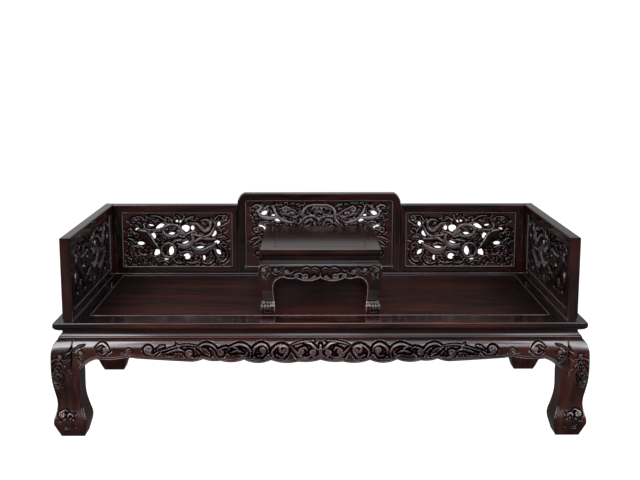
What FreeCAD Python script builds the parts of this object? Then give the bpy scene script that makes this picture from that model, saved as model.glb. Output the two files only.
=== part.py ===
import FreeCAD, Part
import math
import os
from types import SimpleNamespace

# Luohan daybed with the kang table that stands on its seat. Lengths are in millimetres.
# +X runs along the seat, -Y is the front, +Z is up. The origin is on the floor, under the seat's middle.

# The bed's seat frame: four mitred rails round a field of boards
bed_length = 2050.0
bed_depth = 990.0
bed_height = 457.0
bed_rail_width = 120.0
bed_rail_thick = 34.0
bed_edge_face = 18.0
bed_edge_slope = 24.0
bed_edge_round = 4.0
bed_groove_depth = 10.0
bed_tongue_thick = 8.0
bed_board_thick = 20.0
bed_board_gap = 0.6
bed_board_count = 6
bed_batten_width = 44.0
bed_batten_height = 22.0
bed_batten_count = 4
bed_dovetail_height = 5.0
bed_dovetail_flare = 4.0
bed_tenon_reach = 20.0

# The bed's waist, aprons and legs
bed_waist_height = 14.0
bed_waist_recess = 30.0
bed_waist_thick = 18.0
bed_bead_height = 8.5
bed_bead_step = 3.0
bed_ledge_height = 9.5
bed_ledge_run = 7.0
bed_leg_bulge = 11.0
bed_leg_width = 98.0
bed_leg_seam = 75.0
bed_post_size = 50.0
bed_apron_back = 42.0
bed_apron_drop = 105.0
bed_bracket_drop = 147.0
bed_bracket_run = 90.0
bed_apron_tenon_thick = 14.0
bed_apron_tenon_reach = 18.0

# The railing: three framed panels behind the seat and one at each end of it
railing_inset = 32.0
railing_height = 324.0
railing_end_thick = 40.0
railing_back_thick = 44.0
railing_top_rail = 35.0
railing_bottom_rail = 25.0
railing_stile = 35.0
railing_inner_stile = 22.0
railing_edge_round = 4.0
centre_width = 754.0
centre_rise = 53.0
centre_member = 31.0
centre_corner_run = 31.0
centre_corner_drop = 45.0
centre_opening_round = 16.0
panel_thick = 20.0
panel_tongue_thick = 8.0
panel_groove_depth = 6.0
panel_gap = 0.5
frame_tenon_thick = 10.0
key_reach = 10.0
key_width = 12.0
key_flare = 3.0
key_height = 30.0
pin_size = 14.0
pin_up = 14.0
pin_down = 16.0

# The kang table
table_length = 474.0
table_depth = 546.0
table_height = 262.0
table_back_shift = 92.0
table_rail_width = 56.0
table_rail_thick = 28.0
table_edge_face = 15.0
table_edge_slope = 14.0
table_edge_round = 2.5
table_groove_depth = 6.0
table_tongue_thick = 5.0
table_board_thick = 12.0
table_board_gap = 0.4
table_board_count = 2
table_batten_width = 26.0
table_batten_height = 14.0
table_batten_count = 2
table_dovetail_height = 3.0
table_dovetail_flare = 2.5
table_tenon_reach = 10.0
table_waist_height = 14.0
table_waist_recess = 16.0
table_waist_thick = 10.0
table_bead_height = 4.5
table_bead_step = 1.5
table_ledge_height = 9.0
table_ledge_run = 8.0
table_leg_bulge = 6.0
table_leg_width = 53.0
table_leg_seam = 43.0
table_post_size = 24.0
table_apron_back = 20.0
table_apron_drop = 82.0
table_bracket_drop = 99.0
table_bracket_run = 35.0
table_apron_tenon_thick = 6.0
table_apron_tenon_reach = 10.0

# Play between a tenon, tongue or key and the hole that takes it, and how far a cutting solid runs past a face
joint_play = 0.3
overrun = 1.0

# A leg's outer face from the floor up: (share of the leg's height, share of its bulge past the seat's edge)
bed_foot_share = (0.128, 0.75)
bed_leg_outer_shares = ((0.149, 0.82), (0.205, 0.47), (0.259, -0.13), (0.33, -0.5), (0.4, -0.25), (0.5, 0.46),
                        (0.59, 0.88), (0.7, 1.02), (0.8, 0.93), (0.883, 0.44), (0.934, -0.59))
table_foot_share = (0.06, -0.3)
table_leg_outer_shares = ((0.123, 0.1), (0.164, -0.3), (0.232, -1.75), (0.29, -1.6), (0.4, -0.6),
                          (0.555, 0.45), (0.727, 0.85), (0.836, 0.75), (0.895, 0.35))
# Where the outer face starts at the floor and ends under the bead, as shares of the bulge
bed_floor_and_top_share = (-1.23, -1.38)
table_floor_and_top_share = (-1.7, -0.5)
# A leg's inner face: (share of the height up to the bracket's shoulder, share of the leg's width)
bed_leg_inner_shares = ((0.0, 1.07), (0.09, 1.14), (0.17, 1.2), (0.26, 1.21), (0.36, 1.15), (0.48, 1.07),
                        (0.62, 1.01), (0.8, 1.0), (1.0, 1.0))
table_leg_inner_shares = ((0.0, 1.02), (0.14, 1.09), (0.42, 1.06), (0.7, 0.99), (1.0, 1.0))

# An apron's lower edge from its middle to the bracket: (share of the run, share of the drop, the same for the
# middle of the arc that leads there)
bed_long_lobe_shares = ((0.1, 0.973, 0.986), (0.221, 0.91, 1.024), (0.341, 0.895, 1.024),
                        (0.448, 0.933, 0.992), (0.523, 0.871, 0.945), (0.572, 0.971, 0.94),
                        (0.82, 0.848, 0.915), (0.87, 0.838, 0.82), (1.0, 0.876, 0.91))
bed_short_lobe_shares = ((0.15, 0.973, 0.99), (0.33, 0.91, 1.024), (0.47, 0.93, 0.985),
                         (0.57, 0.871, 0.95), (0.64, 0.965, 0.94), (0.81, 0.848, 0.912),
                         (0.86, 0.838, 0.82), (1.0, 0.876, 0.91))
table_lobe_shares = ((0.6, 0.866, 1.027), (0.88, 0.854, 0.915), (1.0, 0.873, 0.85))
bed_middle_cusp_share = 0.905
table_middle_cusp_share = 0.854
# The middle of the arc from an apron's lower edge into the leg: share of its run, share of its fall
corner_arc_share = (0.64, 0.42)
# How far the arcs at a frame's upper corners lie inside the corner, as a share of the cut
outer_bow_share = 0.34
inner_bow_share = 0.29

# Where a joint's parts lie, as low and high shares of the member that carries them
post_tenon_across_share = (0.08, 0.32)
post_tenon_along_share = (0.56, 0.92)
post_tenon_height_share = 0.45
apron_tenon_share = (0.2, 0.7)
corner_tenon_along_share = (0.3, 0.8)
corner_tenon_across_share = (0.4, 0.65)
corner_tenon_height_share = (0.52, 0.7)
batten_tenon_share = (0.1, 0.45)
batten_tenon_half_share = 0.3
frame_tenon_share = (0.5, 0.72)
key_height_shares = (0.3, 0.7)
flank_pin_shares = (0.2, 0.8)
end_pin_shares = (0.2, 0.75)
centre_pin_share = 0.25
slope_middle_share = (0.42, 0.34)

# Pierced openings of the panels, each a leaf between two arcs: (x share, z share, length share of the panel's
# height, width share of it, slope in degrees). Shares of place run from -1 to 1 over the panel's half sizes.
# The leaves are drawn on a panel whose length is this share of its height, and stretch with a longer one.
flank_drawn_share = 1.97
centre_drawn_share = 2.16
end_drawn_share = 3.08
flank_leaf_shares = (
    (-0.72, 0.38, 0.13, 0.07, 20), (-0.66, -0.1, 0.17, 0.08, 0), (-0.62, -0.55, 0.12, 0.06, 30),
    (-0.47, 0.52, 0.12, 0.05, -10), (-0.44, 0.12, 0.14, 0.1, 70), (-0.36, -0.42, 0.2, 0.1, 50),
    (-0.3, 0.5, 0.22, 0.07, 30), (-0.2, -0.68, 0.12, 0.05, 10), (-0.12, 0.2, 0.18, 0.08, 20),
    (-0.08, -0.3, 0.14, 0.07, 80), (0.03, 0.66, 0.14, 0.06, 0), (0.14, 0.4, 0.17, 0.13, 20),
    (0.1, -0.15, 0.26, 0.09, 30), (0.16, -0.6, 0.15, 0.12, 0), (0.27, 0.42, 0.1, 0.07, 80),
    (0.38, -0.3, 0.24, 0.08, 15), (0.44, 0.36, 0.2, 0.09, -35), (0.44, -0.66, 0.14, 0.1, 60),
    (0.52, 0.0, 0.14, 0.06, 10), (0.64, 0.22, 0.14, 0.1, 40), (0.7, -0.1, 0.12, 0.07, 20),
    (0.74, 0.56, 0.14, 0.08, 70), (0.73, -0.44, 0.17, 0.08, -50))
centre_leaf_shares = (
    (0.1, 0.62, 0.14, 0.06, 20), (0.1, 0.22, 0.2, 0.08, 60), (0.09, -0.2, 0.17, 0.07, 0),
    (0.12, -0.62, 0.15, 0.06, 30), (0.25, 0.42, 0.2, 0.09, -40), (0.27, -0.02, 0.22, 0.08, 40),
    (0.26, -0.46, 0.17, 0.07, -30), (0.4, 0.6, 0.14, 0.07, 0), (0.42, 0.2, 0.22, 0.09, 70),
    (0.43, -0.3, 0.2, 0.08, 20), (0.44, -0.66, 0.14, 0.06, -20), (0.58, 0.46, 0.2, 0.1, 40),
    (0.6, 0.02, 0.2, 0.09, -50), (0.6, -0.44, 0.18, 0.08, 60), (0.74, 0.6, 0.16, 0.08, -30),
    (0.76, 0.18, 0.17, 0.08, 30), (0.76, -0.22, 0.17, 0.08, -20), (0.75, -0.6, 0.16, 0.07, 40))
end_leaf_shares = (
    (-0.78, 0.5, 0.18, 0.08, 40), (-0.8, 0.02, 0.2, 0.08, 80), (-0.77, -0.5, 0.17, 0.07, -30),
    (-0.62, 0.3, 0.22, 0.09, -20), (-0.6, -0.26, 0.24, 0.09, 50), (-0.46, 0.62, 0.17, 0.07, 10),
    (-0.42, 0.04, 0.2, 0.09, 70), (-0.44, -0.6, 0.17, 0.07, -20), (-0.26, 0.4, 0.22, 0.1, -50),
    (-0.24, -0.24, 0.24, 0.09, 20), (-0.1, 0.66, 0.15, 0.06, 0), (-0.07, 0.1, 0.2, 0.09, 80),
    (-0.08, -0.62, 0.18, 0.07, 30), (0.12, 0.36, 0.24, 0.1, 40), (0.12, -0.26, 0.22, 0.09, -40),
    (0.29, 0.66, 0.16, 0.07, -20), (0.32, 0.02, 0.22, 0.1, 60), (0.3, -0.64, 0.16, 0.06, 10),
    (0.48, 0.4, 0.2, 0.09, -30), (0.5, -0.28, 0.22, 0.09, 30), (0.66, 0.58, 0.16, 0.07, 30),
    (0.67, 0.04, 0.2, 0.09, -70), (0.68, -0.54, 0.18, 0.08, 0), (0.82, 0.3, 0.15, 0.07, 60),
    (0.83, -0.2, 0.17, 0.08, -40))

bed = SimpleNamespace(
    half_x=bed_length / 2, half_y=bed_depth / 2, top=bed_height, rail_width=bed_rail_width,
    rail_thick=bed_rail_thick, edge_face=bed_edge_face, edge_slope=bed_edge_slope, edge_round=bed_edge_round,
    groove_depth=bed_groove_depth, tongue_thick=bed_tongue_thick, board_thick=bed_board_thick,
    board_gap=bed_board_gap, board_count=bed_board_count, batten_width=bed_batten_width,
    batten_height=bed_batten_height, batten_count=bed_batten_count, dovetail_height=bed_dovetail_height,
    dovetail_flare=bed_dovetail_flare, tenon_reach=bed_tenon_reach, waist_height=bed_waist_height,
    waist_recess=bed_waist_recess, waist_thick=bed_waist_thick, bead_height=bed_bead_height,
    bead_step=bed_bead_step, ledge_height=bed_ledge_height, ledge_run=bed_ledge_run,
    bulge=bed_leg_bulge, leg_width=bed_leg_width, seam=bed_leg_seam,
    post=bed_post_size, apron_back=bed_apron_back, apron_drop=bed_apron_drop, bracket_drop=bed_bracket_drop,
    bracket_run=bed_bracket_run, apron_tenon_thick=bed_apron_tenon_thick,
    apron_tenon_reach=bed_apron_tenon_reach, foot=bed_foot_share, outer=bed_leg_outer_shares,
    ends=bed_floor_and_top_share, inner=bed_leg_inner_shares, lobes_x=bed_long_lobe_shares,
    lobes_y=bed_short_lobe_shares, middle_cusp=bed_middle_cusp_share)
table = SimpleNamespace(
    half_x=table_length / 2, half_y=table_depth / 2, top=table_height, rail_width=table_rail_width,
    rail_thick=table_rail_thick, edge_face=table_edge_face, edge_slope=table_edge_slope,
    edge_round=table_edge_round, groove_depth=table_groove_depth, tongue_thick=table_tongue_thick,
    board_thick=table_board_thick, board_gap=table_board_gap, board_count=table_board_count,
    batten_width=table_batten_width, batten_height=table_batten_height, batten_count=table_batten_count,
    dovetail_height=table_dovetail_height, dovetail_flare=table_dovetail_flare,
    tenon_reach=table_tenon_reach, waist_height=table_waist_height, waist_recess=table_waist_recess,
    waist_thick=table_waist_thick, bead_height=table_bead_height, bead_step=table_bead_step,
    ledge_height=table_ledge_height, ledge_run=table_ledge_run,
    bulge=table_leg_bulge, leg_width=table_leg_width, seam=table_leg_seam, post=table_post_size,
    apron_back=table_apron_back, apron_drop=table_apron_drop, bracket_drop=table_bracket_drop,
    bracket_run=table_bracket_run, apron_tenon_thick=table_apron_tenon_thick,
    apron_tenon_reach=table_apron_tenon_reach, foot=table_foot_share, outer=table_leg_outer_shares,
    ends=table_floor_and_top_share, inner=table_leg_inner_shares, lobes_x=table_lobe_shares,
    lobes_y=table_lobe_shares, middle_cusp=table_middle_cusp_share)

UP = FreeCAD.Vector(0, 0, 1)
ORIGIN = FreeCAD.Vector(0, 0, 0)


def point(x, y, z):
    return FreeCAD.Vector(x, y, z)


def box(x_low, x_high, y_low, y_high, z_low, z_high):
    return Part.makeBox(x_high - x_low, y_high - y_low, z_high - z_low, point(x_low, y_low, z_low))


def line(a, b):
    return Part.LineSegment(a, b).toShape()


def arc(a, middle, b):
    return Part.Arc(a, middle, b).toShape()


def spline(points):
    curve = Part.BSplineCurve()
    curve.interpolate(points)
    return curve.toShape()


def prism(edges, push):
    return Part.Face(Part.Wire(edges)).extrude(push)


def polygon_prism(points, push):
    return Part.Face(Part.makePolygon(points + [points[0]])).extrude(push)


def quarter_turn(shape):
    """The front of a piece, at -Y, comes to the right, at +X."""
    turned = shape.copy()
    turned.rotate(ORIGIN, UP, 90)
    return turned


def mirror_x(shape):
    return shape.mirror(ORIGIN, point(1, 0, 0))


def mirror_y(shape):
    return shape.mirror(ORIGIN, point(0, 1, 0))


def moved(shape, x, y, z):
    copy = shape.copy()
    copy.translate(point(x, y, z))
    return copy


# Legs, aprons and waist

def leg_top(stand):
    return stand.top - stand.rail_thick - stand.waist_height


def shoulder_height(stand):
    """The height of the ledge on a leg that carries the apron's bracket."""
    return leg_top(stand) - stand.bracket_drop


def outer_face(stand, place):
    """Edges of the bulging outer face from the floor up, with a bead and a sloping ledge at the leg's top.

    place turns (outward, height) into a point."""
    height, bulge = leg_top(stand), stand.bulge
    floor_out, top_out = face_ends(stand)
    bead_out = top_out + stand.ledge_run + stand.bead_step
    bead_top = height - stand.ledge_height
    bead_foot = bead_top - stand.bead_height
    foot_share, foot_out_share = stand.foot
    foot_point = place(foot_out_share * bulge, foot_share * height)
    bulge_top = place(bead_out, bead_foot)
    curve = [foot_point]
    curve += [place(out * bulge, share * height) for share, out in stand.outer]
    curve.append(bulge_top)
    step_in = place(bead_out - stand.bead_step, bead_foot)
    bead_end = place(bead_out - stand.bead_step, bead_top)
    return [line(place(floor_out, 0), foot_point), spline(curve), line(bulge_top, step_in),
            arc(step_in, place(bead_out, (bead_foot + bead_top) / 2), bead_end),
            line(bead_end, place(top_out, height))]


def face_ends(stand):
    """How far outward the outer face is at the floor and at the top."""
    floor_share, top_share = stand.ends
    return floor_share * stand.bulge, top_share * stand.bulge - stand.bead_step - stand.ledge_run


def leg_side(stand, place):
    """A leg's outline in one view, as closed edges."""
    floor_out, top_out = face_ends(stand)
    ledge = shoulder_height(stand)
    inner = [place(-width * stand.leg_width, share * ledge) for share, width in stand.inner]
    top_inner = place(-stand.leg_width, leg_top(stand))
    edges = outer_face(stand, place)
    edges.append(line(place(top_out, leg_top(stand)), top_inner))
    edges.append(line(top_inner, inner[-1]))
    edges.append(spline(inner[::-1]))
    edges.append(line(inner[0], place(floor_out, 0)))
    return edges


def post_box(stand):
    """The post through the waist, at the front left corner: low and high offsets from the seat's edge."""
    low = stand.waist_recess + stand.waist_thick + joint_play
    return low, low + stand.post


def leg_tenons(stand, play):
    """Two tenons on the post, one for each rail that meets over the leg."""
    low, _ = post_box(stand)
    near, far = [low + share * stand.post for share in post_tenon_across_share]
    start, end = [low + share * stand.post for share in post_tenon_along_share]
    base = stand.top - stand.rail_thick
    height = post_tenon_height_share * stand.rail_thick + play
    x, y = -stand.half_x, -stand.half_y
    into_long = box(x + start - play, x + end + play, y + near - play, y + far + play, base - play,
                    base + height)
    into_short = box(x + near - play, x + far + play, y + start - play, y + end + play, base - play,
                     base + height)
    return into_long.fuse(into_short)


def apron_tenon(stand, half_span, half_across, play):
    """The tongue on an apron's left end, which enters the leg."""
    back = -half_across + stand.apron_back - stand.waist_thick / 2
    low, high = [shoulder_height(stand) + share * stand.bracket_drop for share in apron_tenon_share]
    return box(-half_span - stand.apron_tenon_reach - play, -half_span + overrun,
               back - stand.apron_tenon_thick - play, back + play, low - play, high + play)


def corner_leg(stand):
    """The front left leg, square in plan and bulging on both outer sides, with its post and tenons."""
    clear = 2 * stand.bulge
    reach = 2 * stand.leg_width
    front = prism(leg_side(stand, lambda out, z: point(-stand.half_x - out, -stand.half_y - clear, z)),
                  point(0, reach, 0))
    side = prism(leg_side(stand, lambda out, z: point(-stand.half_x - clear, -stand.half_y - out, z)),
                 point(reach, 0, 0))
    leg = front.common(side)
    x, y, ledge, high = -stand.half_x, -stand.half_y, shoulder_height(stand), leg_top(stand) + overrun
    leg = leg.cut(box(x + stand.seam, x + reach, y - reach, y + stand.apron_back, ledge, high))
    leg = leg.cut(box(x - reach, x + stand.apron_back, y + stand.seam, y + reach, ledge, high))
    leg = leg.cut(apron_tenon(stand, stand.half_x - stand.seam, stand.half_y, joint_play))
    short = apron_tenon(stand, stand.half_y - stand.seam, stand.half_x, joint_play)
    leg = leg.cut(mirror_x(quarter_turn(short)))
    low, far = post_box(stand)
    post = box(x + low, x + far, y + low, y + far, leg_top(stand) - overrun, stand.top - stand.rail_thick)
    leg = leg.fuse(post).fuse(leg_tenons(stand, 0))
    return leg.removeSplitter()


def lower_edge(stand, lobes, half_span):
    """The right half of an apron's lower edge, as arcs from the middle to the leg's seam."""
    top = leg_top(stand)
    run = half_span - stand.bracket_run
    edges = []
    x, depth = 0, stand.middle_cusp * stand.apron_drop
    for share, depth_share, middle_share in lobes:
        next_x, next_depth = share * run, depth_share * stand.apron_drop
        edges.append(arc(point(x, 0, top - depth),
                         point((x + next_x) / 2, 0, top - middle_share * stand.apron_drop),
                         point(next_x, 0, top - next_depth)))
        x, depth = next_x, next_depth
    corner_x = half_span + stand.seam - stand.leg_width
    ledge = shoulder_height(stand)
    rise = top - depth - ledge
    across, down = corner_arc_share
    middle = point(x + across * (corner_x - x), 0, top - depth - down * rise)
    edges.append(arc(point(x, 0, top - depth), middle, point(corner_x, 0, ledge)))
    edges.append(line(point(corner_x, 0, ledge), point(half_span, 0, ledge)))
    return edges


def front_apron(stand, lobes):
    """The front apron: a bulging board with a lobed lower edge and a tongue at each end."""
    half_span = stand.half_x - stand.seam
    top = leg_top(stand)
    _, top_out = face_ends(stand)
    edges = outer_face(stand, lambda out, z: point(-half_span, -stand.half_y - out, z))
    back = -stand.half_y + stand.apron_back - joint_play
    floor_out, _ = face_ends(stand)
    edges.append(line(point(-half_span, -stand.half_y - top_out, top), point(-half_span, back, top)))
    edges.append(line(point(-half_span, back, top), point(-half_span, back, 0)))
    edges.append(line(point(-half_span, back, 0), point(-half_span, -stand.half_y - floor_out, 0)))
    board = prism(edges, point(2 * half_span, 0, 0))
    right = lower_edge(stand, lobes, half_span)
    left = [mirror_x(edge) for edge in right]
    ledge = shoulder_height(stand)
    rim = [line(point(half_span, 0, ledge), point(half_span, 0, top + overrun)),
           line(point(half_span, 0, top + overrun), point(-half_span, 0, top + overrun)),
           line(point(-half_span, 0, top + overrun), point(-half_span, 0, ledge))]
    ordered = Part.Wire(Part.__sortEdges__(right + left + rim))
    outline = Part.Face(ordered).extrude(point(0, -stand.half_y - 3 * stand.bulge, 0))
    board = board.common(outline)
    tenon = apron_tenon(stand, half_span, stand.half_y, 0)
    return board.fuse(tenon).fuse(mirror_x(tenon)).removeSplitter()


def mitre_prism(half_along, half_across, width, z_low, z_high):
    """The plan of a front rail, board or waist with ends cut on the diagonal, as a cutting solid."""
    points = [point(-half_along, -half_across, z_low), point(half_along, -half_across, z_low),
              point(half_along - width, -half_across + width, z_low),
              point(-half_along + width, -half_across + width, z_low)]
    return polygon_prism(points, point(0, 0, z_high - z_low))


def front_waist(stand):
    half_along, half_across = stand.half_x - stand.waist_recess, stand.half_y - stand.waist_recess
    return mitre_prism(half_along, half_across, stand.waist_thick, leg_top(stand),
                       stand.top - stand.rail_thick)


# The seat or top: rails, boards and battens

def rail_section(stand):
    """A rail's section as edges at x = 0, with the outer edge at y = 0 and the rail to its right."""
    top, low = stand.top, stand.top - stand.rail_thick
    corner, face_end = stand.edge_round, top - stand.edge_face
    turn = corner * (1 - math.cos(math.pi / 4))
    a, b = point(0, corner, top), point(0, 0, top - corner)
    slope_end = point(0, stand.edge_slope, low)
    in_share, up_share = slope_middle_share
    slope_middle = point(0, in_share * stand.edge_slope,
                         low + up_share * (stand.rail_thick - stand.edge_face))
    inner_low, inner_top = point(0, stand.rail_width, low), point(0, stand.rail_width, top)
    return [arc(a, point(0, turn, top - turn), b), line(b, point(0, 0, face_end)),
            arc(point(0, 0, face_end), slope_middle, slope_end), line(slope_end, inner_low),
            line(inner_low, inner_top), line(inner_top, a)]


def panel_groove(stand, play):
    """The tongue round the boards as one flat block. With play it is the groove that takes it."""
    middle = stand.top - stand.board_thick / 2
    reach = stand.groove_depth - stand.rail_width
    half = stand.tongue_thick / 2 + play
    return box(-stand.half_x - reach, stand.half_x + reach, -stand.half_y - reach, stand.half_y + reach,
               middle - half, middle + half)


def corner_tenon(stand, play):
    """The tenon on a long rail's left end, which crosses the mitre into the short rail."""
    start, end = [-stand.half_x + share * stand.rail_width for share in corner_tenon_along_share]
    near, far = [-stand.half_y + share * stand.rail_width for share in corner_tenon_across_share]
    base = stand.top - stand.rail_thick
    low, high = [base + share * stand.rail_thick for share in corner_tenon_height_share]
    return box(start - play, end, near - play, far + play, low - play, high + play)


def batten_places(stand):
    inner = stand.half_x - stand.rail_width
    return [inner * (2 * (i + 0.5) / stand.batten_count - 1) for i in range(stand.batten_count)]


def batten_tenon(stand, x, play):
    """The tenon at a batten's front end, which enters the front rail."""
    under = stand.top - stand.board_thick
    inner = -stand.half_y + stand.rail_width
    half = batten_tenon_half_share * stand.batten_width
    high, low = [under - share * stand.batten_height for share in batten_tenon_share]
    return box(x - half - play, x + half + play, inner - stand.tenon_reach - play, inner + overrun,
               low - play, high + play)


def front_rail(stand):
    """A long rail of the mitred frame, with tenons at its ends and mortises for the battens and legs."""
    rail = prism(rail_section(stand), point(2 * stand.half_x, 0, 0))
    rail = moved(rail, -stand.half_x, -stand.half_y, 0)
    low = stand.top - stand.rail_thick
    rail = rail.common(mitre_prism(stand.half_x, stand.half_y, stand.rail_width, low - overrun,
                                   stand.top + overrun))
    tenon = corner_tenon(stand, 0)
    rail = rail.fuse(tenon).fuse(mirror_x(tenon))
    rail = rail.cut(panel_groove(stand, joint_play))
    mortises = leg_tenons(stand, joint_play)
    rail = rail.cut(mortises).cut(mirror_x(mortises))
    for x in batten_places(stand):
        rail = rail.cut(batten_tenon(stand, x, joint_play))
    return rail.removeSplitter()


def right_rail(stand):
    """A short rail of the mitred frame, mortised for the long rails' tenons."""
    rail = prism(rail_section(stand), point(2 * stand.half_y, 0, 0))
    rail = moved(rail, -stand.half_y, -stand.half_x, 0)
    low = stand.top - stand.rail_thick
    rail = rail.common(mitre_prism(stand.half_y, stand.half_x, stand.rail_width, low - overrun,
                                   stand.top + overrun))
    rail = quarter_turn(rail).cut(panel_groove(stand, joint_play))
    for cutter in (corner_tenon(stand, joint_play), leg_tenons(stand, joint_play)):
        right = mirror_x(cutter)
        rail = rail.cut(right).cut(mirror_y(right))
    return rail.removeSplitter()


def dovetail(stand, x, play):
    """The dovetail along a batten's back. With play it is the groove under the boards."""
    under = stand.top - stand.board_thick
    half = batten_tenon_half_share * stand.batten_width + play
    flared = half + stand.dovetail_flare
    start = -stand.half_y + stand.rail_width + joint_play - play
    points = [point(x - half, start, under - play), point(x + half, start, under - play),
              point(x + flared, start, under + stand.dovetail_height + play),
              point(x - flared, start, under + stand.dovetail_height + play)]
    return polygon_prism(points, point(0, -2 * start, 0))


def boards(stand):
    """The floating field of boards: tongued into the rails and into each other."""
    inner_x, inner_y = stand.half_x - stand.rail_width, stand.half_y - stand.rail_width
    pitch = 2 * inner_y / stand.board_count
    under, middle = stand.top - stand.board_thick, stand.top - stand.board_thick / 2
    gap, reach, half = stand.board_gap, stand.groove_depth - 2 * joint_play, stand.tongue_thick / 2
    made = []
    for i in range(stand.board_count):
        low = -inner_y + i * pitch + gap / 2
        high = low + pitch - gap
        board = box(-inner_x + gap, inner_x - gap, low, high, under, stand.top)
        board = board.fuse(box(-inner_x - reach, inner_x + reach, low, high, middle - half, middle + half))
        board = board.fuse(box(-inner_x + gap, inner_x - gap, high - overrun, high + reach, middle - half,
                               middle + half))
        if i == 0:
            board = board.fuse(box(-inner_x + gap, inner_x - gap, low - reach, low + overrun, middle - half,
                                   middle + half))
        else:
            board = board.cut(box(-stand.half_x, stand.half_x, low - overrun, low + stand.groove_depth,
                                  middle - half - joint_play, middle + half + joint_play))
        for x in batten_places(stand):
            board = board.cut(dovetail(stand, x, joint_play))
        made.append(board.removeSplitter())
    return made


def battens(stand):
    """The cross battens under the boards, dovetailed to them and tenoned into the long rails."""
    under = stand.top - stand.board_thick
    inner_y = stand.half_y - stand.rail_width - joint_play
    made = []
    for x in batten_places(stand):
        half = stand.batten_width / 2
        batten = box(x - half, x + half, -inner_y, inner_y, under - stand.batten_height, under - joint_play)
        batten = batten.fuse(dovetail(stand, x, 0))
        tenon = batten_tenon(stand, x, 0)
        made.append(batten.fuse(tenon).fuse(mirror_y(tenon)).removeSplitter())
    return made


# The railing

def seat_line():
    return bed.top


def frame_outline(x_low, x_high, y, z_low, z_high, run, drop, bow_share):
    """A rectangle's edges in the x-z plane, with its upper corners cut by arcs if run is not zero."""
    low_left, low_right = point(x_low, y, z_low), point(x_high, y, z_low)
    if run == 0:
        corners = [low_left, low_right, point(x_high, y, z_high), point(x_low, y, z_high)]
        return [line(a, b) for a, b in zip(corners, corners[1:] + corners[:1])]
    right_side, right_top = point(x_high, y, z_high - drop), point(x_high - run, y, z_high)
    left_side, left_top = point(x_low, y, z_high - drop), point(x_low + run, y, z_high)
    bow = bow_share
    right_bow = point(x_high - run * bow, y, z_high - drop * bow)
    left_bow = point(x_low + run * bow, y, z_high - drop * bow)
    return [line(low_left, low_right), line(low_right, right_side), arc(right_side, right_bow, right_top),
            line(right_top, left_top), arc(left_top, left_bow, left_side), line(left_side, low_left)]


def rounded_ring(f):
    """A frame's four members still in one piece, with its outer edges rounded."""
    thick = point(0, f.y_high - f.y_low, 0)
    ring = prism(frame_outline(f.x_low, f.x_high, f.y_low, f.z_low, f.z_high, f.corner_run, f.corner_drop,
                               outer_bow_share), thick)
    sharp = []
    for edge in ring.Edges:
        middle = edge.valueAt((edge.FirstParameter + edge.LastParameter) / 2)
        on_face = min(abs(middle.y - f.y_low), abs(middle.y - f.y_high)) < joint_play
        if on_face and middle.z > f.z_low + joint_play:
            sharp.append(edge)
    ring = ring.makeFillet(railing_edge_round, sharp)
    opening = frame_outline(f.x_low + f.low_stile, f.x_high - f.high_stile, f.y_low - overrun,
                            f.z_low + f.bottom, f.z_high - f.top, f.opening_round, f.opening_round,
                            inner_bow_share)
    return ring.cut(prism(opening, thick + point(0, 2 * overrun, 0)))


def rounded_bar(f, place, outer, inner, push):
    """A frame member before it is mitred, its two outer edges rounded.

    place turns (across, y) into a point."""
    inward = math.copysign(railing_edge_round, inner - outer)
    turn_share = 1 - math.cos(math.pi / 4)
    turn = turn_share * railing_edge_round
    front, back = f.y_low + railing_edge_round, f.y_high - railing_edge_round
    edges = [line(place(inner, f.y_low), place(outer + inward, f.y_low)),
             arc(place(outer + inward, f.y_low), place(outer + turn_share * inward, f.y_low + turn),
                 place(outer, front)),
             line(place(outer, front), place(outer, back)),
             arc(place(outer, back), place(outer + turn_share * inward, f.y_high - turn),
                 place(outer + inward, f.y_high)),
             line(place(outer + inward, f.y_high), place(inner, f.y_high)),
             line(place(inner, f.y_high), place(inner, f.y_low))]
    return prism(edges, push)


def straight_bars(f):
    """A square frame's top, bottom, low and high members before they are mitred."""
    along, up = point(f.x_high - f.x_low, 0, 0), point(0, 0, f.z_high - f.z_low)
    top = rounded_bar(f, lambda across, y: point(f.x_low, y, across), f.z_high, f.z_high - f.top, along)
    bottom = box(f.x_low, f.x_high, f.y_low, f.y_high, f.z_low, f.z_low + f.bottom)
    low = rounded_bar(f, lambda across, y: point(across, y, f.z_low), f.x_low, f.x_low + f.low_stile, up)
    high = rounded_bar(f, lambda across, y: point(across, y, f.z_low), f.x_high, f.x_high - f.high_stile, up)
    return top, bottom, low, high


def panel_outline(f, grow):
    """The opening's outline grown outwards by a length, at y = 0."""
    rounding = f.opening_round + grow if f.opening_round else 0
    return frame_outline(f.x_low + f.low_stile - grow, f.x_high - f.high_stile + grow, 0,
                         f.z_low + f.bottom - grow, f.z_high - f.top + grow, rounding, rounding,
                         inner_bow_share)


def plate(edges, y_middle, thick):
    return moved(prism(edges, point(0, thick, 0)), 0, y_middle - thick / 2, 0)


def member_prism(f, corners, inner):
    """One member's share of the ring: from its outer edge to lines that run through the inner corners."""
    (ax, az), (bx, bz) = corners
    (cx, cz), (dx, dz) = inner
    y = f.y_low - overrun
    points = [point(ax, y, az), point(bx, y, bz), point(bx + 1.5 * (cx - bx), y, bz + 1.5 * (cz - bz)),
              point(ax + 1.5 * (dx - ax), y, az + 1.5 * (dz - az))]
    return polygon_prism(points, point(0, f.y_high - f.y_low + 2 * overrun, 0))


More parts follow.
